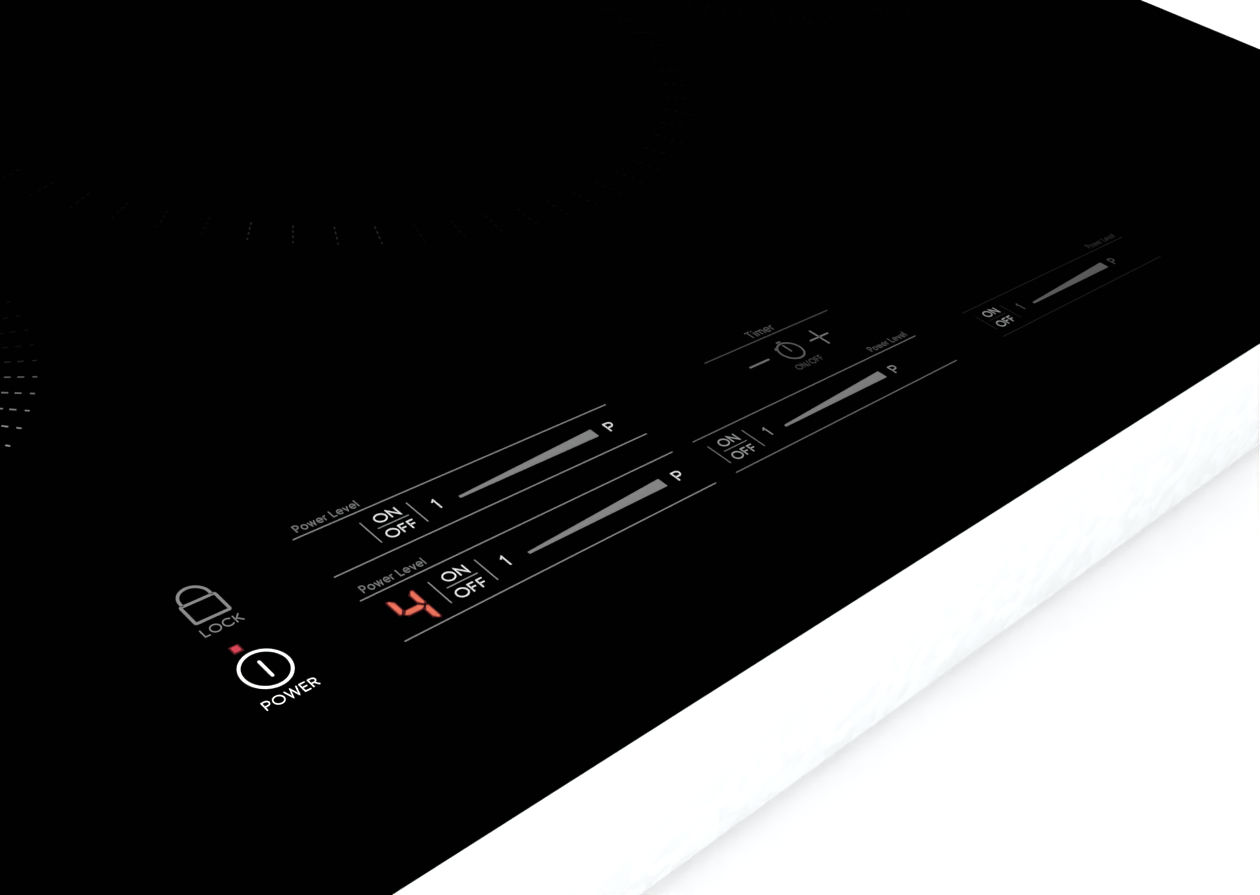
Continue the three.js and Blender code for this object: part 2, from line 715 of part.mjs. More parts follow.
// Scroll outline, opened by an offset: a spiral that ends in a straight outlet towards +Y.
function scroll(offset, outletY) {
  const steps = 22;
  const lipX = SCROLL_LIP_X - offset;
  const start = Math.acos(lipX / (SCROLL_START + offset));
  const shape = new THREE.Shape();
  shape.moveTo(lipX, outletY);
  for (let step = 0; step <= steps; step += 1) {
    const angle = start + (2 * Math.PI - start) * step / steps;
    const radius = SCROLL_START + offset + SCROLL_GROWTH * step / steps;
    shape.lineTo(radius * Math.cos(angle), radius * Math.sin(angle));
  }
  shape.lineTo(SCROLL_START + SCROLL_GROWTH + offset, outletY);
  return shape;
}

function blowerHousing() {
  const shell = slab(scroll(SCROLL_WALL, SCROLL_OUTLET_Y), BLOWER_FLOOR, BLOWER_WALL_TOP);
  const hollow = slab(scroll(0, SCROLL_OUTLET_Y + 5), BLOWER_FLOOR + SCROLL_WALL, BLOWER_WALL_TOP + 5);
  return cut(shell, hollow, cylinder(INLET_EYE, 0, 20, 20));
}

function blowerCover() {
  const plate = slab(scroll(SCROLL_WALL, SCROLL_OUTLET_Y), BLOWER_WALL_TOP + GAP, COVER_TOP);
  const boss = cylinder(7, BLOWER_WALL_TOP - 3, COVER_TOP - 0.5, 12);
  return cut(join(plate, boss), cylinder(AXLE_RADIUS + GAP, 0, 50, 12));
}

// Impeller: hub cup with axle, top disc, forward-curved blades and a lower ring.
function impeller() {
  const top = IMPELLER_TOP;
  const bottom = IMPELLER_BOTTOM;
  const ringHole = cylinder(IMPELLER_RADIUS - 3, 0, 40, 24);
  const solids = [
    cylinder(IMPELLER_RADIUS, top - 1.4, top, 24),
    cylinder(IMPELLER_HUB, bottom + 2, top, 16),
    cylinder(AXLE_RADIUS, top - 5, COVER_TOP - 1, 10),
    cut(cylinder(IMPELLER_RADIUS, bottom, bottom + 1.6, 24), ringHole),
  ];
  for (let index = 0; index < BLADES; index += 1) {
    const blade = block(-0.7, 0.7, -4.2, 4.2, bottom + 0.5, top - 0.5);
    blade.rotateZ(BLADE_PITCH).translate(0, BLADE_RADIUS, 0).rotateZ(index * 2 * Math.PI / BLADES);
    solids.push(blade);
  }
  return join(...solids);
}

for (const blower of BLOWERS) {
  const group = new THREE.Group();
  group.position.set(blower.x, blower.y, 0);
  addPart(`blower_housing_${blower.name}`, blowerHousing(), FINISH.blackPlastic, group);
  addPart(`blower_cover_${blower.name}`, blowerCover(), FINISH.blackPlastic, group);
  addPart(`impeller_${blower.name}`, impeller(), FINISH.blackPlastic, group);
  model.add(group);
}

// ---------------------------------------------------------------- touch controls

const CONTROL_LEFT = -206;
const CONTROL_RIGHT = 166;
const CONTROL_FRONT = -237;
const CONTROL_REAR = -172;
const CONTROL_FLOOR = 97;
const CONTROL_BOARD_BOTTOM = 101;
const CARRIER_WALL = 1.5;
const CARRIER_EAR_WIDTH = 16;
const CARRIER_EAR_REACH = 7;
const CARRIER_EAR_INSET = 30;
const DISPLAY_WIDTH = 13;
const DISPLAY_DEPTH = 17;

// Digit displays sit beside their slider groups; the first two share the left end.
const DISPLAYS = [
  { name: "left_front", x: -148.7, y: -219.2 },
  { name: "left_rear", x: -148.7, y: -195.7 },
  { name: "centre", x: 30, y: -219.2 },
  { name: "right", x: 147.5, y: -219.2 },
];

// Open tray that hangs the control board under the glass, with three ears on the frame.
function controlCarrier() {
  const wall = CARRIER_WALL;
  const top = FRAME_FLANGE_BOTTOM - GAP;
  const outside = block(CONTROL_LEFT, CONTROL_RIGHT, CONTROL_FRONT, CONTROL_REAR, CONTROL_FLOOR, top);
  const inside = block(
    CONTROL_LEFT + wall,
    CONTROL_RIGHT - wall,
    CONTROL_FRONT + wall,
    CONTROL_REAR - wall,
    CONTROL_FLOOR + wall,
    top + 5,
  );
  const middle = (CONTROL_LEFT + CONTROL_RIGHT) / 2;
  const places = [CONTROL_LEFT + CARRIER_EAR_INSET, middle, CONTROL_RIGHT - CARRIER_EAR_INSET];
  const front = CONTROL_FRONT - CARRIER_EAR_REACH;
  const half = CARRIER_EAR_WIDTH / 2;
  const ears = places.map((x) => block(x - half, x + half, front, CONTROL_FRONT + wall / 2, top - wall, top));
  return join(cut(outside, inside), ...ears);
}

function controlBoard() {
  const inset = CARRIER_WALL + GAP;
  return block(
    CONTROL_LEFT + inset,
    CONTROL_RIGHT - inset,
    CONTROL_FRONT + inset,
    CONTROL_REAR - inset,
    CONTROL_BOARD_BOTTOM,
    CONTROL_BOARD_BOTTOM + BOARD_THICKNESS,
  );
}

function zoneDisplay() {
  const x = DISPLAY_WIDTH / 2;
  const y = DISPLAY_DEPTH / 2;
  return block(-x, x, -y, y, CONTROL_BOARD_BOTTOM + BOARD_THICKNESS + GAP, GLASS_BOTTOM - 2 * GAP);
}

addPart("control_carrier", controlCarrier(), FINISH.whitePlastic);
addPart("control_board", controlBoard(), FINISH.board);
for (const display of DISPLAYS) {
  addPart(`zone_display_${display.name}`, zoneDisplay().translate(display.x, display.y, 0), FINISH.display);
}

export default model;
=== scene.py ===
import json
import math
from collections import defaultdict

import bmesh
import bpy
from mathutils import Matrix, Vector


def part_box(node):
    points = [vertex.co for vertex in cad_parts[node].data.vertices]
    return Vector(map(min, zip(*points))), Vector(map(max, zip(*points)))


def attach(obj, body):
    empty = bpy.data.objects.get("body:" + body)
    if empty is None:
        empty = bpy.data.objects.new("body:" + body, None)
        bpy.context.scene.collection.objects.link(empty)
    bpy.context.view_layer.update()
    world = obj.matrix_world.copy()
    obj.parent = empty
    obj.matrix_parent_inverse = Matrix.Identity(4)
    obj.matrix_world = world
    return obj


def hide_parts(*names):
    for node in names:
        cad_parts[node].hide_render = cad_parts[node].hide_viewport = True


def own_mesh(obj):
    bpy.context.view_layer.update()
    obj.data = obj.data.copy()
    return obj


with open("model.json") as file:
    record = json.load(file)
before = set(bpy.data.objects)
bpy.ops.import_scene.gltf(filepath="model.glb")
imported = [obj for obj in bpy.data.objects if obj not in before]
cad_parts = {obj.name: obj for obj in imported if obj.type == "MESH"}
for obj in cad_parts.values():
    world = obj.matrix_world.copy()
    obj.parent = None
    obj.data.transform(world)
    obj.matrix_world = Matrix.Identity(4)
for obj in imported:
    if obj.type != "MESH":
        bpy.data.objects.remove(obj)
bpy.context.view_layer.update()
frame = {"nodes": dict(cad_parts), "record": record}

# Lengths are in millimetres, in the frame of the CAD model. Textures, clip distances and the studio are
# in metres.
MM = 0.001
BODY = "cooktop"
UP = (0, 0, 1)


def box(node):
    """Low and high corner of a CAD node."""
    low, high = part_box(node)
    return low / MM, high / MM


def node_box(node):
    """Middle, low corner and high corner of a CAD node."""
    low, high = box(node)
    return (low + high) / 2, low, high


GLASS_LOW, GLASS_HIGH = box("glass_top")
PAN_LOW, PAN_HIGH = box("base_pan")
TOP = GLASS_HIGH.z
FRONT = GLASS_LOW.y


# ------------------ camera

CAMERA_LENS = 44.781
CAMERA_SENSOR = 36.0
CAMERA_HEADING = -51.24
CAMERA_DOWN = 35.374
CAMERA_ROLL = 10.923
CAMERA_ABOVE_GLASS = 219.7
CAMERA_LEFT_OF_CENTRE = 311.3
CAMERA_BEFORE_FRONT = 124.55


def make_camera():
    data = bpy.data.cameras.new("camera")
    data.lens = CAMERA_LENS
    data.sensor_width = CAMERA_SENSOR
    data.clip_start = 0.01
    data.clip_end = 50.0
    camera = bpy.data.objects.new("camera", data)
    bpy.context.scene.collection.objects.link(camera)
    turn = Matrix.Rotation(math.radians(CAMERA_HEADING), 4, "Z")
    tilt = Matrix.Rotation(math.radians(90 - CAMERA_DOWN), 4, "X")
    roll = Matrix.Rotation(math.radians(CAMERA_ROLL), 4, "Z")
    place = Vector((-CAMERA_LEFT_OF_CENTRE, FRONT - CAMERA_BEFORE_FRONT, TOP + CAMERA_ABOVE_GLASS)) * MM
    camera.matrix_world = Matrix.Translation(place) @ turn @ tilt @ roll
    bpy.context.scene.camera = camera


# ------------------ materials

class Nodes:
    """A Principled material with a few short ways to drive it from procedural textures."""

    def __init__(self, name, color, roughness, metallic=0.0, **constants):
        self.material = bpy.data.materials.new(name)
        self.material.use_nodes = True
        self.tree = self.material.node_tree
        self.shader = self.tree.nodes["Principled BSDF"]
        self.color = color
        self.set("Base Color", (*color, 1.0))
        self.set("Roughness", roughness)
        self.set("Metallic", metallic)
        for key, value in constants.items():
            self.set(key.replace("_", " "), value)
        self.height = None

    def set(self, socket, value):
        self.shader.inputs[socket].default_value = value

    def node(self, kind, **settings):
        made = self.tree.nodes.new(kind)
        for key, value in settings.items():
            if key in made.inputs:
                made.inputs[key].default_value = value
            else:
                setattr(made, key, value)
        return made

    def link(self, source, target):
        self.tree.links.new(source, target)

    def coords(self, stretch=(1.0, 1.0, 1.0)):
        place = self.node("ShaderNodeTexCoord")
        mapping = self.node("ShaderNodeMapping", Scale=stretch)
        self.link(place.outputs["Object"], mapping.inputs["Vector"])
        return mapping.outputs["Vector"]

    def noise(self, scale, detail=4.0, stretch=(1.0, 1.0, 1.0)):
        made = self.node("ShaderNodeTexNoise", Scale=scale, Detail=detail, Roughness=0.55)
        self.link(self.coords(stretch), made.inputs["Vector"])
        return made.outputs["Fac"]

    def cells(self, scale, output="Color"):
        made = self.node("ShaderNodeTexVoronoi", Scale=scale)
        self.link(self.coords(), made.inputs["Vector"])
        return made.outputs[output]

    def ramp(self, value, stops):
        """Fades between two colours, each given with the value where it starts."""
        made = self.node("ShaderNodeValToRGB")
        for element, (position, shade) in zip(made.color_ramp.elements, stops):
            element.position = position
            element.color = (*shade, 1.0)
        self.link(value, made.inputs["Fac"])
        return made.outputs["Color"]

    def scaled(self, value, low, high):
        made = self.node("ShaderNodeMapRange")
        made.inputs["To Min"].default_value = low
        made.inputs["To Max"].default_value = high
        self.link(value, made.inputs["Value"])
        return made.outputs["Result"]

    def tint(self, value, amount):
        """The base colour, lighter and darker by amount where the texture says."""
        darker, lighter = ([max(0.0, c * (1 + side * amount)) for c in self.color] for side in (-1, 1))
        shade = self.ramp(value, [(0.25, darker), (0.75, lighter)])
        self.link(shade, self.shader.inputs["Base Color"])

    def rough(self, value, low, high):
        self.link(self.scaled(value, low, high), self.shader.inputs["Roughness"])

    def bump(self, value, depth, strength):
        made = self.node("ShaderNodeBump", Strength=strength, Distance=depth)
        self.link(value, made.inputs["Height"])
        if self.height is not None:
            self.link(self.height, made.inputs["Normal"])
        self.height = made.outputs["Normal"]
        self.link(self.height, self.shader.inputs["Normal"])


def glass_material():
    made = Nodes("black_glass", (0.00018, 0.00019, 0.00020), 0.045, IOR=1.52)
    made.rough(made.noise(9.0, 3.0), 0.03, 0.055)
    made.tint(made.noise(3.0, 2.0), 0.25)
    made.bump(made.noise(14.0, 1.0), 0.00002, 0.25)
    return made.material


def ground_edge_material():
    """Edge of the glass, ground but not polished: pale and satin, with fine lines along it."""
    made = Nodes("ground_edge", (0.56, 0.58, 0.58), 0.5, Specular_IOR_Level=0.4)
    made.tint(made.noise(900.0, 3.0, (0.05, 0.05, 4.0)), 0.1)
    made.rough(made.noise(500.0, 3.0), 0.4, 0.6)
    made.bump(made.noise(900.0, 2.0, (0.05, 0.05, 4.0)), 0.00002, 0.4)
    return made.material


def ink_material(name, tone):
    """Fired enamel print: flat and matt, with the slight grain of the screen mesh."""
    made = Nodes(name, (tone, tone, tone), 0.55, Specular_IOR_Level=0.03)
    made.tint(made.noise(2600.0, 2.0), 0.07)
    made.rough(made.noise(1500.0, 2.0), 0.5, 0.62)
    made.bump(made.noise(3200.0, 1.0), 0.00001, 0.4)
    return made.material


def light_material(name, color, strength):
    """Light of a display segment, a little uneven over its face."""
    grain = 0.12
    made = Nodes(name, (0.02, 0.004, 0.003), 0.4)
    darker, lighter = ([min(1.0, c * (1 + side * grain)) for c in color] for side in (-1, 1))
    glow = made.ramp(made.noise(420.0, 2.0), [(0.3, darker), (0.7, lighter)])
    made.link(glow, made.shader.inputs["Emission Color"])
    made.set("Emission Strength", strength)
    return made.material


def galvanised_material():
    made = Nodes("galvanised_steel", (0.76, 0.77, 0.78), 0.4, 0.62)
    spangle = made.cells(170.0)
    made.tint(spangle, 0.035)
    made.rough(spangle, 0.34, 0.46)
    made.bump(made.noise(700.0, 3.0), 0.00002, 0.4)
    made.bump(made.noise(18.0, 2.0), 0.0002, 0.2)
    return made.material


def metal_material(name, color, low, high, metallic=0.9, stretch=(1.0, 1.0, 1.0), scale=300.0):
    made = Nodes(name, color, (low + high) / 2, metallic)
    grain = made.noise(scale, 5.0, stretch)
    made.tint(made.noise(scale / 6, 3.0, stretch), 0.1)
    made.rough(grain, low, high)
    made.bump(grain, 0.00003, 0.35)
    return made.material


def plastic_material(name, color, low, high, grain=1800.0, amount=0.12):
    made = Nodes(name, color, (low + high) / 2)
    made.tint(made.noise(60.0, 3.0), amount)
    made.rough(made.noise(220.0, 3.0), low, high)
    made.bump(made.noise(grain, 2.0), 0.00004, 0.6)
    return made.material


def foam_material():
    made = Nodes("foam", (0.022, 0.022, 0.023), 0.95, Specular_IOR_Level=0.15)
    made.tint(made.cells(1400.0, output="Distance"), 0.5)
    made.bump(made.cells(1400.0, output="Distance"), 0.0002, 0.8)
    return made.material


def mica_material():
    """Pressed mica flakes: pale, a little silvery, with faint overlapping scales."""
    made = Nodes("mica", (0.56, 0.50, 0.40), 0.42, Specular_IOR_Level=0.6)
    made.tint(made.noise(260.0, 5.0), 0.10)
    made.rough(made.cells(420.0), 0.3, 0.55)
    made.bump(made.noise(520.0, 4.0), 0.00005, 0.5)
    return made.material


def litz_material():
    """Enamelled strands: fine twisted lines across the turns."""
    made = Nodes("litz_copper", (0.50, 0.19, 0.075), 0.3, 0.85)
    strands = made.node("ShaderNodeTexWave", Scale=420.0, Distortion=1.6)
    strands.bands_direction = "DIAGONAL"
    made.link(made.coords(), strands.inputs["Vector"])
    made.tint(strands.outputs["Fac"], 0.35)
    made.bump(strands.outputs["Fac"], 0.0001, 0.6)
    made.rough(made.noise(160.0), 0.22, 0.4)
    return made.material


def board_material():
    """Green solder mask over long copper tracks and wide planes."""
    made = Nodes("circuit_board", (0.014, 0.085, 0.038), 0.35)
    settings = {
        "Scale": 60.0, "Brick Width": 0.62, "Row Height": 0.13, "Mortar Size": 0.012, "Mortar Smooth": 0.2,
        "Color1": (0.010, 0.062, 0.028, 1.0), "Color2": (0.017, 0.105, 0.046, 1.0),
        "Mortar": (0.035, 0.19, 0.085, 1.0), "offset": 0.37, "offset_frequency": 3,
        "squash": 0.6, "squash_frequency": 2,
    }
    tracks = made.node("ShaderNodeTexBrick", **settings)
    made.link(made.coords(), tracks.inputs["Vector"])
    made.link(tracks.outputs["Color"], made.shader.inputs["Base Color"])
    made.rough(made.noise(90.0), 0.28, 0.45)
    made.bump(tracks.outputs["Fac"], 0.00004, 0.6)
    return made.material


MATERIALS = {
    "black_glass": glass_material(),
    "ground_edge": ground_edge_material(),
    "foam": foam_material(),
    "galvanised_steel": galvanised_material(),
    "zinc_plated_steel": metal_material("zinc_plated_steel", (0.66, 0.64, 0.58), 0.26, 0.42, scale=500.0),
    "spring_steel": metal_material("spring_steel", (0.40, 0.41, 0.43), 0.2, 0.34, stretch=(1, 12, 1)),
    "aluminium": metal_material("aluminium", (0.74, 0.75, 0.76), 0.3, 0.46, stretch=(14, 1, 1)),
    "copper": litz_material(),
    "mica": mica_material(),
    "black_plastic": plastic_material("black_plastic", (0.018, 0.018, 0.019), 0.42, 0.6),
    "white_plastic": plastic_material("white_plastic", (0.66, 0.64, 0.58), 0.38, 0.52, amount=0.05),
    "circuit_board": board_material(),
    "display_red": plastic_material("display_red", (0.05, 0.008, 0.007), 0.12, 0.22, 500.0, 0.3),
    "ferrite": plastic_material("ferrite", (0.055, 0.055, 0.058), 0.5, 0.7, 900.0, 0.3),
    "tin": metal_material("tin", (0.72, 0.72, 0.70), 0.25, 0.4, scale=600.0),
    "film": plastic_material("film", (0.60, 0.36, 0.05), 0.3, 0.45, amount=0.08),
    "sleeve_blue": plastic_material("sleeve_blue", (0.012, 0.022, 0.06), 0.25, 0.4, amount=0.2),
    "resistor_tan": plastic_material("resistor_tan", (0.42, 0.30, 0.16), 0.4, 0.55, amount=0.1),
    "display_bar": plastic_material("display_bar", (0.12, 0.03, 0.03), 0.3, 0.4, amount=0.1),
    "enamelled_wire": metal_material("enamelled_wire", (0.48, 0.17, 0.06), 0.2, 0.34, 0.8),
    "brass": metal_material("brass", (0.70, 0.50, 0.20), 0.25, 0.4, scale=500.0),
}


SLOTS = {row["node"]: row["material_slot"] for row in frame["record"]["subparts"]}
BODIES = {node: body for body, nodes in frame["record"]["behaviour"]["bodies"].items() for node in nodes}


def paint_cad_nodes():
    for name, node in frame["nodes"].items():
        node.data.materials.clear()
        node.data.materials.append(MATERIALS[SLOTS[name]])


# ------------------ mesh tools

SMOOTH_ANGLE = math.radians(38)


def add_piece(name, solid, *materials, body=BODY, slot=None, replaces=(), smooth=True, unit=MM):
    """Makes an object that rides on its body. The slot argument is not used."""
    mesh = bpy.data.meshes.new(name)
    bmesh.ops.recalc_face_normals(solid, faces=solid.faces)
    solid.to_mesh(mesh)
    solid.free()
    mesh.transform(Matrix.Scale(unit, 4))
    if "custom_normal" in mesh.attributes:
        mesh.attributes.remove(mesh.attributes["custom_normal"])
    for material in materials:
        mesh.materials.append(MATERIALS[material] if isinstance(material, str) else material)
    if smooth:
        mesh.shade_smooth()
        mesh.set_sharp_from_angle(angle=SMOOTH_ANGLE)
    piece = bpy.data.objects.new(name, mesh)
    bpy.context.scene.collection.objects.link(piece)
    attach(piece, body)
    slot = slot or materials[0]
    if replaces:
        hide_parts(*replaces)
    return piece


def node_piece(node, part, solid, material, slot=None, instead=False, unit=MM):
    """A piece on the body of a CAD node. Instead of the node, where that is asked for."""
    replaced = [node] if instead else []
    return add_piece(f"{node}_{part}", solid, material, body=BODIES[node], slot=slot, replaces=replaced,
                     unit=unit)


def new_solids(count):
    return (bmesh.new() for group in range(count))


def prism(solid, outline, base, top):
    """Closed solid over a flat outline, given as (x, y) corners in order."""
    loft(solid, [[(x, y, z) for x, y in outline] for z in (base, top)])


# Holds back the spike of a sharp mitred corner.
MITRE_LIMIT = 0.35


def ribbon(solid, points, width, base, top, closed=False):
    """A line of even width through the points, mitred at its corners, as a closed thin solid."""
    points = [Vector(p) for p in points]
    ways = [(after - point).normalized() for point, after in zip(points, points[1:] + points[:1])]
    if not closed:
        ways[-1] = ways[-2]
    rings = []
    for index, point in enumerate(points):
        way = ways[index]
        before = ways[index - 1] if index > 0 or closed else way
        normal = (before + way).orthogonal().normalized()
        reach = width / 2 / max(normal.dot(way.orthogonal()), MITRE_LIMIT)
        left, right = point + normal * reach, point - normal * reach
        rings.append([(*left, base), (*right, base), (*right, top), (*left, top)])
    loft(solid, rings, closed)


def loft(solid, rings, closed=False):
    """Skins a row of rings of equally many points. The last joins the first, or both ends are capped."""
    rows = [[solid.verts.new(point) for point in ring] for ring in rings]
    faces = []
    onward = rows[1:] + rows[:1] if closed else rows[1:]
    for first, second in zip(rows, onward):
        for index in range(len(first)):
            following = (index + 1) % len(first)
            corners = (first[index], first[following], second[following], second[index])
            faces.append(solid.faces.new(corners))
    if not closed:
        solid.faces.new(reversed(rows[0]))
        solid.faces.new(rows[-1])
    return faces


def rounded(x0, x1, y0, y1, radius, steps):
    """Outline of a rectangle with round corners."""
    corners = ((x1, y0, -90), (x1, y1, 0), (x0, y1, 90), (x0, y0, 180))
    points = []
    for x, y, start in corners:
        cx = x - radius if x == x1 else x + radius
        cy = y - radius if y == y1 else y + radius
        points += arc(cx, cy, radius, radius, start, start + 90, steps)
    return points


def rounded_stack(solid, low, high, radius, levels, steps, closed=False):
    """Rounded-rectangle rings between two corners, each drawn in by its inset at its height."""
    rings = []
    for inset, z in levels:
        sides = (low.x + inset, high.x - inset, low.y + inset, high.y - inset)
        rings.append([(x, y, z) for x, y in rounded(*sides, max(radius - inset, 0.1), steps)])
    return loft(solid, rings, closed=closed)


def ring_points(place, way, radius, height, angles):
    """Points round an axis. The radius is a number or a function of the angle in radians."""
    way = Vector(way).normalized()
    side = way.orthogonal().normalized()
    across = way.cross(side)
    reach = radius if callable(radius) else lambda angle: radius
    middle = Vector(place) + way * height
    return [middle + (side * math.cos(a) + across * math.sin(a)) * reach(a) for a in angles]


def heading(angle):
    """Level unit vector at an angle about Z."""
    return Vector((math.cos(angle), math.sin(angle), 0))


def even_angles(steps):
    return [2 * math.pi * step / steps for step in range(steps)]


def lathe(solid, place, way, profile, steps=32, closed=False):
    """Turned solid from (radius, height) pairs. Closed makes a ring whose profile joins on itself."""
    angles = even_angles(steps)
    loft(solid, [ring_points(place, way, radius, height, angles) for radius, height in profile], closed)


def brick(solid, centre, size, edge, corner, turn=0.0, steps=2):
    """Moulded block: rounded upright corners and small arrises, turned about Z by an angle in degrees."""
    x, y, z = (side / 2 for side in size)
    spin = Matrix.Rotation(math.radians(turn), 3, "Z")
    rings = []
    for inset, level in ((edge, -z), (0.0, edge - z), (0.0, z - edge), (edge, z)):
        outline = rounded(inset - x, x - inset, inset - y, y - inset, max(corner - inset, 0.05), steps)
        rings.append([Vector(centre) + spin @ Vector((px, py, level)) for px, py in outline])
    loft(solid, rings)


def tube(solid, points, radius, sides=8):
    """Round wire through a row of points."""
    points = [Vector(point) for point in points]
    side = None
    rings = []
    for index, point in enumerate(points):
        way = (points[min(index + 1, len(points) - 1)] - points[max(index - 1, 0)]).normalized()
        side = (side - way * side.dot(way)).normalized() if side else way.orthogonal().normalized()
        up = side.cross(way)
        rings.append([point + (side * math.cos(a) + up * math.sin(a)) * radius for a in even_angles(sides)])
    loft(solid, rings)


CROSS_ARM = 0.15
CROSS_REACH = 0.58


def screw_head(solid, place, way, radius=3.6, height=2.2):
    """Domed head with a cross recess. Its seat is at place and its crown points along way."""
    flank = math.degrees(math.atan(CROSS_ARM / CROSS_REACH))
    quarter = (0.0, flank, 26.0, 45.0, 64.0, 90.0 - flank)
    angles = [math.radians(90 * turn + angle) for turn in range(4) for angle in quarter]

    def recess(scale):
        def reach(angle):
            fold = math.degrees(angle) % 90
            fold = math.radians(min(fold, 90 - fold))
            at_end = fold < math.radians(flank + 0.01)
            side = CROSS_REACH / math.cos(fold) if at_end else CROSS_ARM / math.sin(fold)
            return scale * radius * side
        return reach

    dome = ((1.0, 0.0), (1.0, 0.3), (0.94, 0.66), (0.8, 0.9), (0.68, 1.0))
    levels = [(share * radius, level) for share, level in dome]
    levels += [(recess(1.0), 1.0), (recess(0.75), 0.35)]
    loft(solid, [ring_points(place, way, reach, level * height, angles) for reach, level in levels])


WELD_DISTANCE = 0.001
FLAT_ANGLE = math.radians(1.0)


def refined(node, width, segments=2):
    """The CAD node over again as a clean mesh with its arrises rounded. Its mesh is in metres already."""
    solid = bmesh.new()
    solid.from_mesh(frame["nodes"][node].data)
    bmesh.ops.remove_doubles(solid, verts=solid.verts, dist=WELD_DISTANCE * MM)
    bmesh.ops.dissolve_limit(solid, angle_limit=FLAT_ANGLE, verts=solid.verts, edges=solid.edges)
    piece = node_piece(node, "formed", solid, SLOTS[node], instead=True, unit=1)
    bevel = piece.modifiers.new("arrises", "BEVEL")
    bevel.width = width * MM
    bevel.segments = segments
    bevel.limit_method = "ANGLE"
    bevel.angle_limit = math.radians(42)
    bevel.harden_normals = True


def arc(cx, cy, rx, ry, start, end, steps=14):
    """Points on an ellipse from one angle to another, in degrees."""
    points = []
    for step in range(steps + 1):
        angle = math.radians(start + (end - start) * step / steps)
        points.append((cx + rx * math.cos(angle), cy + ry * math.sin(angle)))
    return points


# ------------------ printed letters

# Each letter is its strokes on a grid where capitals are 1 high, with its width.
GLYPHS = {
    "L": (0.50, [[(0, 1), (0, 0), (0.50, 0)]]),
    "O": (0.98, [arc(0.49, 0.5, 0.49, 0.5, 0, 360, 28)]),
    "C": (0.86, [arc(0.49, 0.5, 0.49, 0.5, 42, 318, 22)]),
    "K": (0.64, [[(0, 1), (0, 0)], [(0.60, 1), (0, 0.38)], [(0.19, 0.57), (0.64, 0)]]),
    "P": (0.58, [[(0, 0), (0, 1), (0.31, 1), *arc(0.31, 0.73, 0.27, 0.27, 80, -80), (0.31, 0.46),
                  (0, 0.46)]]),
    "W": (1.16, [[(0, 1), (0.29, 0), (0.58, 1), (0.87, 0), (1.16, 1)]]),
    "E": (0.54, [[(0.54, 1), (0, 1), (0, 0), (0.54, 0)], [(0, 0.52), (0.48, 0.52)]]),
    "R": (0.60, [[(0, 0), (0, 1), (0.31, 1), *arc(0.31, 0.74, 0.26, 0.26, 80, -80), (0.31, 0.48),
                  (0, 0.48)], [(0.28, 0.48), (0.60, 0)]]),
    "N": (0.70, [[(0, 0), (0, 1), (0.70, 0), (0.70, 1)]]),
    "F": (0.50, [[(0, 0), (0, 1), (0.50, 1)], [(0, 0.52), (0.44, 0.52)]]),
    "T": (0.68, [[(0, 1), (0.68, 1)], [(0.34, 1), (0.34, 0)]]),
    "o": (0.68, [arc(0.34, 0.34, 0.34, 0.34, 0, 360, 24)]),
    "w": (0.88, [[(0, 0.68), (0.22, 0), (0.44, 0.68), (0.66, 0), (0.88, 0.68)]]),
    "v": (0.58, [[(0, 0.68), (0.29, 0), (0.58, 0.68)]]),
    "e": (0.68, [[(0.02, 0.34), *arc(0.34, 0.34, 0.34, 0.34, 0, 312, 22)]]),
    "r": (0.34, [[(0, 0), (0, 0.68)], arc(0.30, 0.38, 0.30, 0.30, 172, 84, 8)]),
    "l": (0.02, [[(0.01, 0), (0.01, 1.06)]]),
    "i": (0.02, [[(0.01, 0), (0.01, 0.68)], [(0.01, 0.90), (0.01, 1.02)]]),
    "m": (0.96, [[(0, 0), (0, 0.68)], [*arc(0.24, 0.44, 0.24, 0.24, 172, 0, 10), (0.48, 0)],
                 [*arc(0.72, 0.44, 0.24, 0.24, 172, 0, 10), (0.96, 0)]]),
    "1": (0.24, [[(0, 0.78), (0.24, 0.98), (0.24, 0)]]),
    "/": (0.42, [[(0, -0.08), (0.42, 1.08)]]),
    " ": (0.10, []),
}
LETTER_SPACE = 0.30


# ------------------ graphics on the glass

INK_THICKNESS = 0.05
INK_BASE = TOP
INK_TOP = TOP + INK_THICKNESS


def panel(x, y):
    """A place on the control print: x from the middle of the glass, y from its front edge."""
    return (x, FRONT + y)


class Print:
    """One ink on the glass. Everything drawn with it becomes one piece."""

    def __init__(self, name, tone):
        self.name = name
        self.material = ink_material(name + "_ink", tone)
        self.solid = bmesh.new()

    def line(self, points, width, closed=False):
        ribbon(self.solid, [panel(*p) for p in points], width, INK_BASE, INK_TOP, closed)

    def shape(self, outline):
        prism(self.solid, [panel(*p) for p in outline], INK_BASE, INK_TOP)

    def text(self, text, x, y, height, width, stroke, centred=False):
        """Writes the text with its baseline at y, stretched to exactly the width given."""
        natural = sum(GLYPHS[letter][0] for letter in text) + LETTER_SPACE * (len(text) - 1)
        scale_x = (width - stroke) / natural
        scale_y = height - stroke
        left = x - (width / 2 if centred else 0) + stroke / 2
        for letter in text:
            advance, strokes = GLYPHS[letter]
            closed = letter in "Oo"
            for points in strokes:
                placed = [(left + px * scale_x, y + stroke / 2 + py * scale_y) for px, py in points]
                self.line(placed[:-1] if closed else placed, stroke, closed)
            left += (advance + LETTER_SPACE) * scale_x

    def done(self):
        add_piece("print_" + self.name, self.solid, self.material, slot="black_glass", smooth=False)


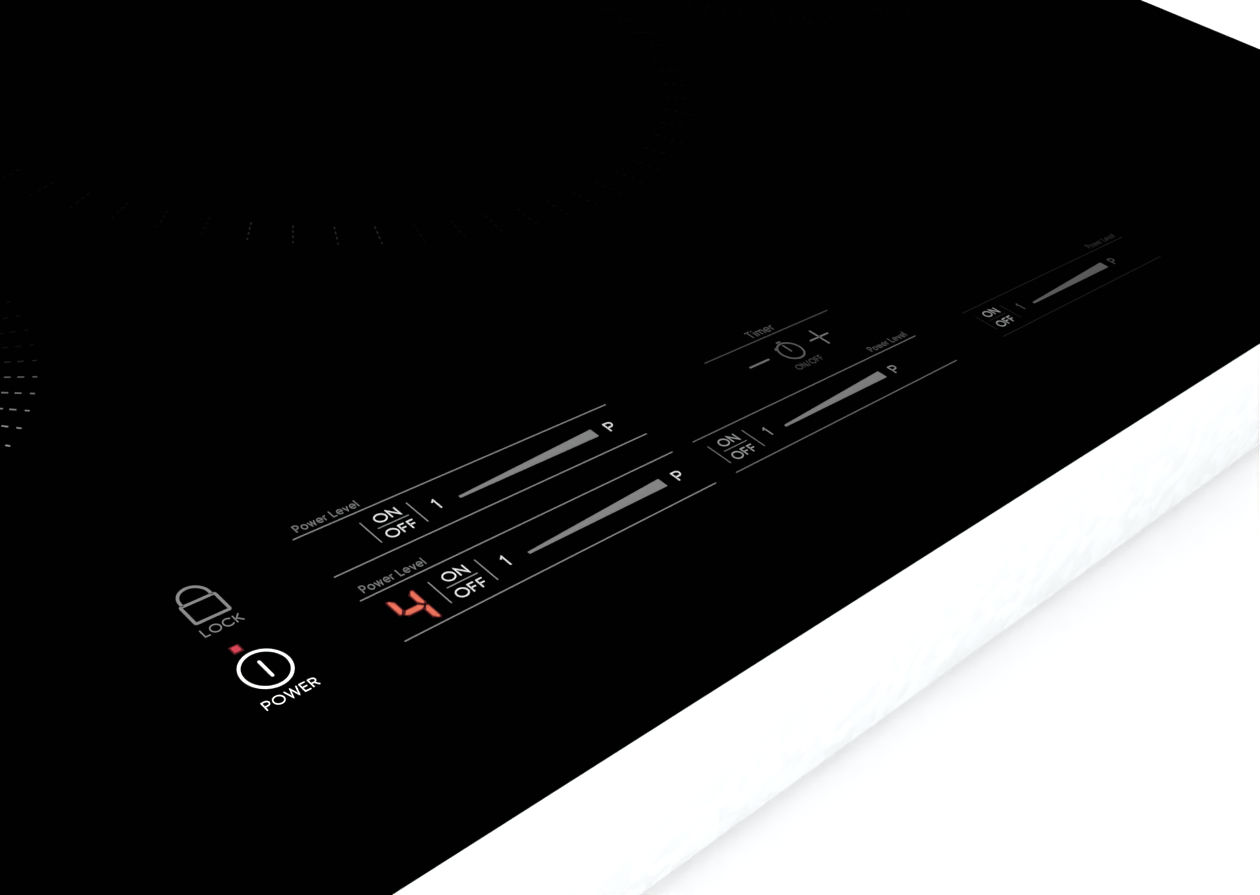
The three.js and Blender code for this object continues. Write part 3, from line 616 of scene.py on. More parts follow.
def capsule(x, y0, y1, width):
    half = width / 2
    return [*arc(x, y1 - half, half, half, 0, 180, 10), *arc(x, y0 + half, half, half, 180, 360, 10)]


POWER_KEY = Vector((-182.3, 57.0))
POWER_RING = 10.8
BOLD_STROKE = 0.62
SMALL_CAPITALS = 2.35
POWER_BAR = 5.1
LOCK_WIDTH = 8.5
LOCK_BOTTOM = 74.7
LOCK_LID = 81.0
SHACKLE_WIDTH = 7.3
SHACKLE_TOP = 85.3


def lock_and_power():
    """The two keys at the left: power, in the brightest ink, and lock."""
    x, y = POWER_KEY
    power = Print("power", 0.95)
    middle = (POWER_RING - BOLD_STROKE) / 2
    power.line(arc(x, y, middle, middle, 0, 360, 56)[:-1], BOLD_STROKE, closed=True)
    power.shape(capsule(x, y - POWER_BAR / 2, y + POWER_BAR / 2, BOLD_STROKE))
    power.text("POWER", x, 47.55, SMALL_CAPITALS, 12.1, 0.19, centred=True)
    power.done()

    lock = Print("lock", 0.19)
    half_width = (LOCK_WIDTH - BOLD_STROKE) / 2
    bottom, lid = LOCK_BOTTOM + BOLD_STROKE / 2, LOCK_LID - BOLD_STROKE / 2
    lock.line(rounded(x - half_width, x + half_width, bottom, lid, 0.3, 3), BOLD_STROKE, closed=True)
    bend = (SHACKLE_WIDTH - BOLD_STROKE) / 2
    crown = arc(x, SHACKLE_TOP - BOLD_STROKE / 2 - bend, bend, bend, 0, 180, 20)
    lock.line([(x + bend, lid), *crown, (x - bend, lid)], BOLD_STROKE)
    lock.text("LOCK", x, 70.75, SMALL_CAPITALS, 9.1, 0.22, centred=True)
    lock.done()


LINE_WIDTH = 0.23
ROW_PITCH = 23.5
GROUP_LENGTH = 93.6
GROUP_TOP = 62.1
GROUP_BOTTOM = 47.5
# Places in a slider group: from its left end, then from the left edge of its ON/OFF key.
KEYS_LEFT = 15.0
KEYS_LEFT_MIRRORED = 1.8
LABEL_LEFT = 2.1
LABEL_LEFT_MIRRORED = 75.2
KEY_WIDTH = 12.75
KEY_TOP = 58.7
KEY_BOTTOM = 50.9
KEY_MIDDLE = 6.35
KEY_LINE = 8.4
ONE_LEFT = 17.4
WEDGE_LEFT = 24.1
WEDGE_RIGHT = 67.75
LETTER_P_LEFT = 71.75


def slider_group(name, left, row, tones, mirrored=False, short=0.0):
    """One zone's slider: frame lines, ON/OFF key, 1, wedge, P and a small label. Row 0 is the front one."""
    lift = row * ROW_PITCH
    keys = left + (KEYS_LEFT_MIRRORED if mirrored else KEYS_LEFT)
    label_left = left + (LABEL_LEFT_MIRRORED if mirrored else LABEL_LEFT)
    inks = {part: Print(f"{name}_{part}", tone) for part, tone in tones.items()}
    lines = inks["lines"]
    for y in (GROUP_TOP, GROUP_BOTTOM):
        lines.line([(left, y + lift), (left + GROUP_LENGTH, y + lift)], LINE_WIDTH)
    for x in (keys, keys + KEY_WIDTH):
        lines.line([(x, KEY_BOTTOM + lift), (x, KEY_TOP + lift)], LINE_WIDTH)
    middle = keys + KEY_MIDDLE
    lines.line([(middle + side * KEY_LINE / 2, 55.05 + lift) for side in (-1, 1)], 0.2)
    inks["keys"].text("ON", middle, 56.25 + lift, 2.85, 6.35, 0.31, centred=True)
    inks["keys"].text("OFF", middle, 50.75 + lift, 2.85, 8.1, 0.31, centred=True)
    inks["marks"].text("1", keys + ONE_LEFT, 52.85 + lift, 3.6, 1.1, 0.34)
    inks["marks"].text("P", keys + LETTER_P_LEFT - short, 52.95 + lift, 3.4, 2.45, 0.36)
    tip, end = keys + WEDGE_LEFT, keys + WEDGE_RIGHT - short
    wedge = ((tip, 53.4), (end, 53.3), (end, 56.4), (tip, 54.1))
    inks["wedge"].shape([(x, y + lift) for x, y in wedge])
    inks["label"].text("Power Level", label_left, GROUP_TOP + 1.35 + lift, SMALL_CAPITALS, 16.5, 0.22)
    for ink in inks.values():
        ink.done()


TIMER_KEY_Y = 76.9
TIMER_KEY_X = 12.8
CLOCK_RING = 8.1
CLOCK_Y = 76.55
SIGN_STROKE = 0.5


def timer_group():
    """Minus, clock and plus under a line with the word Timer."""
    signs = Print("timer_signs", 0.118)
    clock = Print("timer_clock", 0.07)
    small = Print("timer_small", 0.045)
    small.line([(-25.9, 85.05), (26.5, 85.05)], 0.3)
    clock.text("Timer", 0, 86.35, 3.1, 10.5, 0.25, centred=True)
    signs.line([(-16.75, TIMER_KEY_Y), (-8.85, TIMER_KEY_Y)], 0.55)
    signs.line([(8.8, TIMER_KEY_Y), (16.75, TIMER_KEY_Y)], SIGN_STROKE)
    signs.line([(TIMER_KEY_X, 73.1), (TIMER_KEY_X, 80.5)], SIGN_STROKE)
    ring = (CLOCK_RING - SIGN_STROKE) / 2
    clock.line(arc(0, CLOCK_Y, ring, ring, 0, 360, 44)[:-1], SIGN_STROKE, closed=True)
    clock.line([(0, 76.2), (0, 79.6)], 0.45)
    clock.line([(-0.8, 81.2), (0.8, 81.2)], SIGN_STROKE)
    clock.line([(-3.75, 78.7), (-3.0, 79.6)], SIGN_STROKE)
    small.text("ON/OFF", 0, 68.75, 2.15, 10.9, 0.2, centred=True)
    for ink in (signs, clock, small):
        ink.done()


# Name, printed radius, ink tone and offset from the coil's middle of each zone. The ink tones differ by
# zone as painted light and shade: the same print, lighter near the user and darker further away. The near
# zone's print is painted darker away from the user's lit side, and a few rays of the centre zone on the
# user's side are painted a little lighter, as painted light.
ZONE_PRINTS = (
    ("left_front", 78.4, 0.004, (-1.3, -1.2)),
    ("left_rear", 99.0, 0.003, (0, 0)),
    ("centre", 141.3, 0.003, (-2.0, -0.7)),
    ("right", 87.2, 0.0025, (0, 0)),
)
# Painted light and shade on the near zone's ring: lighter copies of its ink on the user's lit side, darker
# copies away from it.
PAINTED_LIGHT_TO_SHADE_TONES = (0.25, 0.21, 0.16, 0.125, 0.08, 0.012)
PAINTED_SHADE_FROM = 40
RAY_STEP = 5
# Painted light: the centre zone's rays on the user's side take a lighter copy of its ink.
PAINTED_LIGHT_RAYS = range(230, 250, RAY_STEP)
PAINTED_LIGHT_TONE = 0.014
RAY_DASHES = 4
DASH_PITCH = 2.88
DASH_WIDTH = 0.36
OUTER_DASH = 0.35
INNER_DASH = 0.5


def painted_light_band(name, angle):
    """Which of its zone's inks a ray takes, which paints light and shade on the ring: the near zone's by
    degrees away from the user's lit side, the centre zone's lighter on a few rays on the user's side.
    """
    if name == "left_front":
        away = abs((angle - 90) % 360 - 180)
        return max(0, (away - PAINTED_SHADE_FROM) // RAY_STEP)
    return 0 if angle in PAINTED_LIGHT_RAYS else 1


def zone_rings():
    """Rings of short dashed rays, which mark the cooking zones. Their ink is graded lighter and darker by
    place, as painted light and shade.
    """
    for name, radius, tone, offset in ZONE_PRINTS:
        centre = node_box("coil_insulator_" + name)[0] + Vector((*offset, 0))
        # Lit and shaded copies of one ring ink: painted light and shade.
        tones = {"left_front": (*PAINTED_LIGHT_TO_SHADE_TONES, tone), "centre": (PAINTED_LIGHT_TONE, tone)}.get(name, (tone,))
        inks = [Print(f"ring_{name}_{index}", shade) for index, shade in enumerate(tones)]
        for angle in range(0, 360, RAY_STEP):
            way = heading(math.radians(angle))
            ink = inks[min(painted_light_band(name, angle), len(inks) - 1)]
            for index in range(RAY_DASHES):
                length = DASH_PITCH * (OUTER_DASH if index == 0 else INNER_DASH)
                outer = radius - index * DASH_PITCH
                ends = [(centre + way * reach).xy for reach in (outer, outer - length)]
                ribbon(ink.solid, ends, DASH_WIDTH, INK_BASE, INK_TOP)
        for ink in inks:
            ink.done()


SEGMENT_WIDTH = 1.64
DIGIT_HALF_WIDTH = 3.515
DIGIT_TOP = 4.95
DIGIT_BOTTOM = -4.9
DIGIT_MIDDLE = -0.1
SEGMENT_GAP = 0.13
SEGMENT_CUT = 1.03
SEGMENT_TIP = 0.4
SEGMENT_CORNER = 0.3
DIGIT_FOUR = (0, 1, 3, 4)


def digit_segments():
    """The seven bars of a digit round its middle: upper uprights, lower uprights, then the level bars."""
    side, gap = DIGIT_HALF_WIDTH, SEGMENT_GAP

    def upright(outer, inward, low, high):
        """Full length near its outer edge, inner edge shortened by the slanting ends."""
        inner, point = outer + inward * SEGMENT_WIDTH, outer + inward * SEGMENT_TIP
        return [(outer, low + SEGMENT_CORNER), (point, low), (inner, low + SEGMENT_CUT),
                (inner, high - SEGMENT_CUT), (point, high), (outer, high - SEGMENT_CORNER)]

    def level(middle):
        half, reach = SEGMENT_WIDTH / 2 + 0.05, side - 0.88
        return [(-reach, middle), (half - reach, middle - half), (reach - half, middle - half),
                (reach, middle), (reach - half, middle + half), (half - reach, middle + half)]

    return [upright(-side, 1, DIGIT_MIDDLE + gap, DIGIT_TOP),
            upright(side, -1, DIGIT_MIDDLE + gap + 0.1, DIGIT_TOP),
            upright(-side, 1, DIGIT_BOTTOM, DIGIT_MIDDLE - gap),
            upright(side, -1, DIGIT_BOTTOM, DIGIT_MIDDLE - gap),
            level(DIGIT_MIDDLE), level(DIGIT_TOP - SEGMENT_WIDTH / 2),
            level(DIGIT_BOTTOM + SEGMENT_WIDTH / 2)]


LIT_DIGIT = Vector((-148.685, 53.8))
LAMP = Vector((-183.9, 64.66))
HALO = (0.085, 0.001, 0.008)


def grown(outline, reach):
    """The outline with every corner moved away from its middle by the reach, in x and in y."""
    cx, cy = (sum(values) / len(outline) for values in zip(*outline))
    return [(x + reach * math.copysign(1, x - cx), y + reach * math.copysign(1, y - cy))
            for x, y in outline]


def lit_layer(name, material, place, outlines, level):
    """One layer of a light that shines through the glass. Level 0 is its halo and 1 is its core on top."""
    solid = bmesh.new()
    base = INK_BASE + level * INK_THICKNESS
    for outline in outlines:
        corners = [panel(*(place + Vector(corner))) for corner in outline]
        prism(solid, corners, base, base + INK_THICKNESS)
    add_piece(name, solid, material, slot="display_red", smooth=False)


def lit_digit():
    """The digit 4 that shines through the glass, and the red lamp beside the power key."""
    bars = [digit_segments()[index] for index in DIGIT_FOUR]
    halo = light_material("digit_edge", HALO, 0.8)
    core = light_material("digit_core", (0.78, 0.155, 0.092), 1.0)
    lit_layer("digit_edge", halo, LIT_DIGIT, [grown(bar, 0.12) for bar in bars], 0)
    lit_layer("digit_core", core, LIT_DIGIT, [grown(bar, -0.22) for bar in bars], 1)
    square = ((-1, -1), (1, -1), (1, 1), (-1, 1))
    halo = light_material("lamp_edge", HALO, 0.8)
    core = light_material("lamp_red", (0.66, 0.05, 0.085), 1.0)
    lit_layer("lamp_edge", halo, LAMP, [grown(square, 0.12)], 0)
    lit_layer("power_lamp", core, LAMP, [grown(square, -0.23)], 1)


def glass_graphics():
    lock_and_power()
    # Painted light and shade: one slider print in lit and shaded copies, lighter in the near groups and
    # darker in the middle and far ones, away from the lit front left.
    near = {"keys": 0.60, "marks": 0.55, "lines": 0.19, "wedge": 0.165, "label": 0.15}
    middle = {"keys": 0.235, "marks": 0.17, "lines": 0.105, "wedge": 0.145, "label": 0.06}
    far = {"keys": 0.22, "marks": 0.045, "lines": 0.011, "wedge": 0.075, "label": 0.02}
    slider_group("left_front", -156.0, 0, near)
    slider_group("left_rear", -156.0, 1, near)
    slider_group("centre", -55.0, 0, middle, mirrored=True, short=1.1)
    slider_group("right", 62.4, 0, far, mirrored=True)
    timer_group()
    zone_rings()
    lit_digit()


# ------------------ glass and gasket

GLASS_CORNER = 12
ARRIS_RADIUS = 0.8


def glass_plate():
    """The glass with a small rounded arris above and below its ground edge."""
    low, high = GLASS_LOW, GLASS_HIGH
    solid = bmesh.new()
    turns = [math.radians(15 * step) for step in range(7)]
    lower = [(ARRIS_RADIUS * (1 - math.sin(a)), low.z + ARRIS_RADIUS * (1 - math.cos(a))) for a in turns]
    upper = [(ARRIS_RADIUS * (1 - math.cos(a)), high.z - ARRIS_RADIUS * (1 - math.sin(a))) for a in turns]
    levels = [(3 * ARRIS_RADIUS, low.z), *lower, *upper, (3 * ARRIS_RADIUS, high.z)]
    faces = rounded_stack(solid, low, high, GLASS_CORNER, levels, steps=16)
    around = len(faces) // (len(levels) - 1)
    for index, face in enumerate(faces):
        level = index // around
        if 3 <= level < len(levels) - 4:
            face.material_index = 1
    add_piece("glass_plate", solid, "black_glass", "ground_edge", replaces=["glass_top"])


def foam_gasket():
    """Extruded foam strip with soft corners."""
    low, high = box("edge_gasket")
    width, soft = 11, 0.9
    outer = [(soft, low.z), (0.3 * soft, low.z + 0.3 * soft), (0.0, low.z + soft), (0.0, high.z - soft),
             (0.3 * soft, high.z - 0.3 * soft), (soft, high.z)]
    section = outer + [(width - inset, z) for inset, z in reversed(outer)]
    solid = bmesh.new()
    rounded_stack(solid, low, high, 7, section, steps=8, closed=True)
    add_piece("foam_gasket", solid, "foam", replaces=["edge_gasket"])


# ------------------ outside of the box

SHEET = 1.2
OUTLET_BANKS = (-254, 96)
OUTLET_SLOTS = 9
SLOT_PITCH = 10
SLOT_WIDTH = 4.5
OUTLET_BOTTOM = 24
OUTLET_TOP = 58
HOOD_WIDTH = 4.6
HOOD_RISE = 2.4
HOOD_PAST_END = 1.5
FLOOR_UNDERSIDE = 3
RIB_PITCH = 80
RIB_WIDTH = 14
RIB_FRONT = -88
RIB_REAR = 96
LAP_WIDTH = 17
LAP_SHEET = 0.9
LAP_FROM_SIDE = 4.5
LAP_BOTTOM = 8
LAP_OVER_RECESS = 62
FRAME_SCREW_DROP = 9
FRAME_SCREWS_X = (-270, -90, 90, 270)
FRAME_SCREWS_Y = (-200, 0, 200)
BRACKET_SCREW_Z = 27
CORNERS = ("right_rear", "right_front", "left_front", "left_rear")


def box_shell():
    for node in ("base_pan", "glass_support_frame"):
        refined(node, 0.3)
    for node in ("terminal_cover", "conduit_locknut"):
        refined(node, 0.35)
    for corner in CORNERS:
        refined("holddown_bracket_" + corner, 0.45, 3)


def louvres():
    """A pressed hood over one edge of each air outlet slot."""
    wall = PAN_HIGH.y
    bottom, top = OUTLET_BOTTOM - HOOD_PAST_END, OUTLET_TOP + HOOD_PAST_END
    steps = 12
    section = ((0.0, -0.2), (0.12, 0.45), (0.45, 0.85), (1.0, 1.0), (1.0, 0.68), (0.55, 0.55),
               (0.3, 0.2), (0.25, -0.2))
    solid = bmesh.new()
    for bank in OUTLET_BANKS:
        for index in range(OUTLET_SLOTS):
            left = bank + (index - (OUTLET_SLOTS - 1) / 2) * SLOT_PITCH - SLOT_WIDTH / 2 - 1.0
            rings = []
            for step in range(steps + 1):
                along = step / steps
                crown = HOOD_RISE * max(0.03, 1 - abs(2 * along - 1) ** 5)
                z = bottom + along * (top - bottom)
                rings.append([(left + across * HOOD_WIDTH, wall + out * (crown if out > 0 else HOOD_RISE), z)
                              for across, out in section])
            loft(solid, rings)
    add_piece("outlet_louvres", solid, "galvanised_steel")


def floor_ribs():
    """Stiffening ribs pressed outwards in the floor of the box."""
    solid = bmesh.new()
    section = ((0.0, -0.3), (0.0, 0.0), (1.2, 0.96), (2.4, 1.472), (4.0, 1.6))
    levels = [(inset, FLOOR_UNDERSIDE - depth) for inset, depth in section]
    for index in range(-4, 5):
        x = index * RIB_PITCH
        low = Vector((x - RIB_WIDTH / 2, RIB_FRONT, 0))
        high = Vector((x + RIB_WIDTH / 2, RIB_REAR, 0))
        rounded_stack(solid, low, high, 6.9, levels, steps=6)
    add_piece("floor_ribs", solid, "galvanised_steel")


def corner_laps():
    """The folded ends of the side walls, lapped over the front and rear walls and spot welded."""
    laps = bmesh.new()
    top = PAN_HIGH.z - 2
    dimple = [(3.1, 0.0), (2.9, 0.14), (2.2, 0.2), (1.6, 0.07)]
    for sign_y, wall in ((-1, PAN_LOW.y), (1, PAN_HIGH.y)):
        for sign_x in (-1, 1):
            bottom, welds = (LAP_OVER_RECESS, 2) if (sign_x, sign_y) == (1, 1) else (LAP_BOTTOM, 4)
            x = sign_x * (PAN_HIGH.x - LAP_FROM_SIDE - LAP_WIDTH / 2)
            y = wall + sign_y * (LAP_SHEET / 2 - 0.1)
            brick(laps, (x, y, (bottom + top) / 2), (LAP_WIDTH, LAP_SHEET, top - bottom), 0.3, 0.3)
            face = wall + sign_y * (LAP_SHEET - 0.15)
            for weld in range(welds):
                z = bottom + (weld + 0.5) * (top - bottom) / welds
                lathe(laps, (x, face, z), (0, sign_y, 0), dimple, 24)
    add_piece("corner_laps", laps, "galvanised_steel")


def box_screws():
    """Screws that hold the frame, the rails, the brackets and the terminal cover to the box."""
    screws = defaultdict(bmesh.new)
    z = PAN_HIGH.z - FRAME_SCREW_DROP
    for x in FRAME_SCREWS_X:
        screw_head(screws["frame"], (x, PAN_LOW.y, z), (0, -1, 0))
        screw_head(screws["frame"], (x, PAN_HIGH.y, z), (0, 1, 0))
    for side, wall in ((-1, PAN_LOW.x), (1, PAN_HIGH.x)):
        for y in FRAME_SCREWS_Y:
            screw_head(screws["frame"], (wall, y, z), (side, 0, 0))
        for rail in ("coil_rail_front", "coil_rail_rear"):
            low, high = box(rail)
            for offset in (-6, 6):
                place = (wall, (low.y + high.y) / 2 + offset, low.z + 7)
                screw_head(screws["rail"], place, (side, 0, 0), 2.9, 1.8)
    for corner in CORNERS:
        low, high = box("holddown_bracket_" + corner)
        side = 1 if low.x > 0 else -1
        leg = (low.x if side > 0 else high.x) + side * 2
        for offset in (-12, 12):
            place = (leg, (low.y + high.y) / 2 + offset, BRACKET_SCREW_Z)
            screw_head(screws["bracket"], place, (side, 0, 0), 4.0, 2.4)
    low, high = box("terminal_cover")
    for x in (low.x + 6, high.x - 6):
        for y in (low.y + 6, high.y - 6):
            screw_head(screws["cover"], (x, y, low.z + 0.05), (0, 0, -1), 3.6, 1.3)
    for kind, solid in screws.items():
        add_piece(kind + "_screws", solid, "zinc_plated_steel")


HEXAGON = 6


def hexagon(radius):
    """Distance to the side of a hexagon, from its corner radius."""
    sector = math.tau / HEXAGON
    return lambda angle: radius * math.cos(sector / 2) / math.cos((angle % sector) - sector / 2)


RINGS_PER_TURN = 5


def threaded(solid, place, way, outer, depth, pitch, start, end, sides=16, inner=None):
    """Shank with a screw thread that climbs with the angle. A hollow one also has an inner radius."""
    angles = even_angles(sides)
    count = math.ceil((end - start) / pitch * RINGS_PER_TURN)

    def crest(height):
        def reach(angle):
            phase = (height / pitch - angle / math.tau) % 1
            return outer - depth * (1 - abs(2 * phase - 1))
        return reach

    heights = [start + (end - start) * step / count for step in range(count + 1)]
    rings = [ring_points(place, way, crest(height), height, angles) for height in heights]
    if inner:
        rings += [ring_points(place, way, inner, height, angles) for height in (end, start)]
    loft(solid, rings, closed=bool(inner))


def clamp_screws():
    """Hexagon screw with a real thread and a swivel cap that bears on the worktop."""
    hexagonal = hexagon(4.98)
    head = [(4.0, 0.0), (hexagonal, 0.6), (hexagonal, 3.6), (4.2, 4.0)]
    cap = [(2.7, -3.0), (4.3, -2.7), (4.95, -1.7), (4.95, -0.5), (4.5, 0.0), (3.2, 0.0), (2.9, -0.25),
           (0.8, -0.25)]
    for corner in CORNERS:
        node = "clamp_screw_" + corner
        centre, low, high = node_box(node)
        place = (centre.x, centre.y, low.z)
        length = high.z - low.z
        solid = bmesh.new()
        loft(solid, [ring_points(place, UP, reach, height, even_angles(24)) for reach, height in head])
        threaded(solid, place, UP, outer=2.5, depth=0.4, pitch=0.8, start=3.9, end=length - 3)
        lathe(solid, place, UP, [(radius, length + rise) for radius, rise in cap])
        node_piece(node, "threaded", solid, "zinc_plated_steel", instead=True)


CLAMP_FROM_WALL = 23


def conduit_fitting():
    """Cast connector: threaded shank, round shoulder, barrel and a clamp with two screws."""
    centre, low, high = node_box("conduit_connector")
    shank_length = 10
    place = Vector((centre.x, low.y + shank_length, centre.z))
    out = (0, 1, 0)
    length = high.y - place.y
    bore, barrel, shoulder = 9.5, 15.5, 18
    solid = bmesh.new()
    threaded(solid, place, out, outer=13.7, depth=0.7, pitch=1.8, start=-shank_length, end=0.4,
             sides=40, inner=bore)
    profile = [(bore, 0.3), (shoulder - 0.8, 0.3), (shoulder, 1.0), (shoulder, 4.0), (shoulder - 0.7, 4.7),
               (barrel + 0.6, 5.2), (barrel, 6.2), (barrel, 13.0), (barrel - 0.7, 13.6),
               (barrel - 0.7, 15.2), (barrel, 15.8), (barrel, length - 1.0), (barrel - 0.9, length),
               (bore + 0.8, length), (bore, length - 0.8)]
    lathe(solid, place, out, profile, 56, closed=True)
    screws = bmesh.new()
    for side in (-1, 1):
        for tier in (-1, 1):
            ear = place + Vector((side * 17.5, CLAMP_FROM_WALL, tier * 1.95))
            brick(solid, ear, (8.6, 13.6, 3.1), 0.5, 2.4, steps=5)
        seat = place + Vector((side * 18.2, CLAMP_FROM_WALL, 3.5))
        screw_head(screws, seat, UP, 3.4, 2.2)
        threaded(screws, seat, (0, 0, -1), outer=1.7, depth=0.3, pitch=0.8, start=6.9, end=11.5)
    add_piece("conduit_fitting", solid, "zinc_plated_steel", replaces=["conduit_connector"])
    add_piece("conduit_clamp_screws", screws, "zinc_plated_steel")


# ------------------ coil units

ZONES = ("left_front", "left_rear", "centre", "right")
TRAYS = ("left", "centre", "right")
LITZ_RADIUS = 2.0
TURN_PITCH = 4.1
STEPS_PER_TURN = 44
FIRST_TURN = 26.2
HUB_HOLE = 14
HUB_RADIUS = 24
SPOKES = 8
SPOKE_HALF = 6.4
RIM_WIDTH = 5


def ring_profile(inner, outer, base, top, edge):
    """Section of a flat ring with small arrises on its outside."""
    return [(inner, base), (outer - edge, base), (outer, base + edge), (outer, top - edge),
            (outer - edge, top), (inner, top)]


def spiral(centre, start, end):
    """Route of a wire that winds outwards from one radius to another."""
    count = int((end - start) / TURN_PITCH * STEPS_PER_TURN)
    points = []
    for step in range(count + 1):
        turns = step / STEPS_PER_TURN
        points.append(centre + heading(math.tau * turns) * (start + TURN_PITCH * turns))
    return points


def coil_winding(zone):
    """One layer of litz wire, with a woven sleeve on each end."""
    node = "coil_winding_" + zone
    centre, low, high = node_box(node)
    route = spiral(centre, FIRST_TURN, (high.x - low.x) / 2 - LITZ_RADIUS)
    wire, sleeves = new_solids(2)
    tube(wire, route, LITZ_RADIUS)
    for end in (route[:4], route[-3:]):
        tube(sleeves, end, LITZ_RADIUS + 0.08, 10)
    node_piece(node, "litz", wire, "copper", instead=True)
    node_piece(node, "sleeves", sleeves, "white_plastic")


def coil_insulator(zone):
    node = "coil_insulator_" + zone
    centre, low, high = node_box(node)
    solid = bmesh.new()
    profile = ring_profile(10, (high.x - low.x) / 2, low.z, high.z, 0.25)
    lathe(solid, (centre.x, centre.y, 0), UP, profile, 96, closed=True)
    node_piece(node, "disc", solid, "mica", instead=True)


def coil_former(zone):
    """Moulded wheel whose spokes are channels, with a ferrite bar in each and screws in its rim."""
    node = "coil_former_" + zone
    centre, low, high = node_box(node)
    axis = Vector((centre.x, centre.y, 0))
    radius, height = (high.x - low.x) / 2, high.z - low.z
    wheel, bars, screws = new_solids(3)
    lathe(wheel, axis, UP, ring_profile(HUB_HOLE, HUB_RADIUS, low.z, high.z, 0.5), 56, closed=True)
    lathe(wheel, axis, UP, ring_profile(radius - RIM_WIDTH, radius, low.z, high.z, 0.5), 96, closed=True)
    length = radius - HUB_RADIUS - RIM_WIDTH / 2
    for spoke in range(SPOKES):
        angle = math.tau * spoke / SPOKES
        turn = math.degrees(angle)
        side = heading(angle + math.pi / 2) * SPOKE_HALF
        middle = axis + heading(angle) * (HUB_RADIUS - 0.5 + length / 2)
        for hand in (-1, 1):
            place = middle + side * hand + Vector((0, 0, centre.z))
            brick(wheel, place, (length, 1.5, height - 0.1), 0.3, 0.4, turn)
        brick(wheel, middle + Vector((0, 0, low.z + 0.8)), (length, 2 * SPOKE_HALF, 1.5), 0.2, 0.4, turn)
        brick(bars, middle + Vector((0, 0, high.z - 3.0)), (length - 6, 10.6, 5.4), 0.5, 1.0, turn)
        if spoke % 2 == 0:
            bolt = heading(angle + math.pi / SPOKES) * (radius - RIM_WIDTH / 2)
            screw_head(screws, axis + bolt + Vector((0, 0, high.z - 0.1)), UP, 2.2, 1.6)
    node_piece(node, "wheel", wheel, "black_plastic", instead=True)
    node_piece(node, "ferrite", bars, "ferrite", slot="black_plastic")
    node_piece(node, "screws", screws, "zinc_plated_steel")


def helix(solid, place, radius, height, turns, wire, taper=1.0, steps=14):
    """Coil spring that stands on a place."""
    count = round(turns * steps)
    points = []
    for step in range(count + 1):
        along = step / count
        out = heading(math.tau * turns * along) * radius * (1 + (taper - 1) * along)
        points.append(Vector(place) + out + Vector((0, 0, wire + (height - 2 * wire) * along)))
    tube(solid, points, wire, 6)


def coil_sensor(zone):
    """Ceramic stem with a sprung metal cap that touches the glass side of the mica."""
    node = "coil_sensor_" + zone
    centre, low, high = node_box(node)
    axis = (centre.x, centre.y, low.z)
    height = high.z - low.z
    stem, cap, spring = new_solids(3)
    stem_profile = [(0.1, 0.0), (3.4, 0.0), (3.9, 0.5), (3.9, 4.3), (6.2, 5.2), (6.8, 5.8), (6.8, 9.6),
                    (0.1, 9.6)]
    lathe(stem, axis, UP, stem_profile)
    cap_profile = [(0.1, 9.5), (6.9, 9.5), (6.9, height - 1.2), (6.5, height - 0.5), (5.6, height - 0.1),
                   (0.1, height)]
    lathe(cap, axis, UP, cap_profile)
    helix(spring, axis, radius=5.2, height=5.0, turns=4, wire=0.4)
    node_piece(node, "stem", stem, "white_plastic", instead=True)
    node_piece(node, "cap", cap, "aluminium", slot="white_plastic")
    node_piece(node, "spring", spring, "spring_steel")


STRIP_THICKNESS = 0.8


def leaf_spring(tray):
    """Bowed strip with a rounded section. The real strip is pressed flat as its tray is pushed down; this
    piece keeps its bowed shape.
    """
    node = "leaf_spring_" + tray
    centre, low, high = node_box(node)
    height, steps = high.z - low.z, 48
    rings = []
    for step in range(steps + 1):
        along = 2 * step / steps - 1
        y = centre.y + along * (high.y - low.y) / 2
        lift = low.z + (height - STRIP_THICKNESS) * math.cos(along * math.pi / 2) ** 2
        half = (high.x - low.x) / 2 * (1 - 0.25 * max(0.0, abs(along) - 0.9) * 10)
        section = ((-half, 0.2), (0.3 - half, 0.0), (half - 0.3, 0.0), (half, 0.2), (half, 0.8),
                   (half - 0.3, 1.0), (0.3 - half, 1.0), (-half, 0.8))
        rings.append([(centre.x + x, y, lift + share * STRIP_THICKNESS) for x, share in section])
    solid = bmesh.new()
    loft(solid, rings)
    piece = node_piece(node, "strip", solid, "spring_steel", instead=True)
    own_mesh(piece)


def coil_units():
    for zone in ZONES:
        coil_winding(zone)
        coil_insulator(zone)
        coil_former(zone)
        coil_sensor(zone)
    for tray in TRAYS:
        refined("coil_tray_" + tray, 0.35)
        leaf_spring(tray)
    for rail in ("coil_rail_front", "coil_rail_rear"):
        refined(rail, 0.4)


# ------------------ power boards

FLOOR_TOP = FLOOR_UNDERSIDE + SHEET

# Parts of a board: material, then x and y from its left front corner, then width, depth and height.
INVERTER_PARTS = (
    ("ferrite", 29, 84, 30, 9, 23), ("ferrite", 29, 101, 30, 6, 23),
    ("film", 40, 148, 13, 6, 11), ("film", 12, 172, 15, 7, 12), ("film", 150, 30, 34, 20, 26),
    ("film", 187, 30, 24, 20, 26), ("film", 168, 64, 44, 20, 28),
    ("black_plastic", 20, 122, 13, 9, 3), ("black_plastic", 40, 130, 8, 6, 2.2),
    ("black_plastic", 22, 150, 18, 10, 3), ("black_plastic", 146, 112, 20, 18, 20),
    ("black_plastic", 188, 112, 17, 29, 17),
    ("white_plastic", 14, 191, 20, 8, 10), ("white_plastic", 42, 191, 16, 8, 10),
    ("white_plastic", 29, 92.5, 24, 11, 17),
    ("tin", 150, 189, 9, 9, 9), ("tin", 168, 189, 9, 9, 9),
)
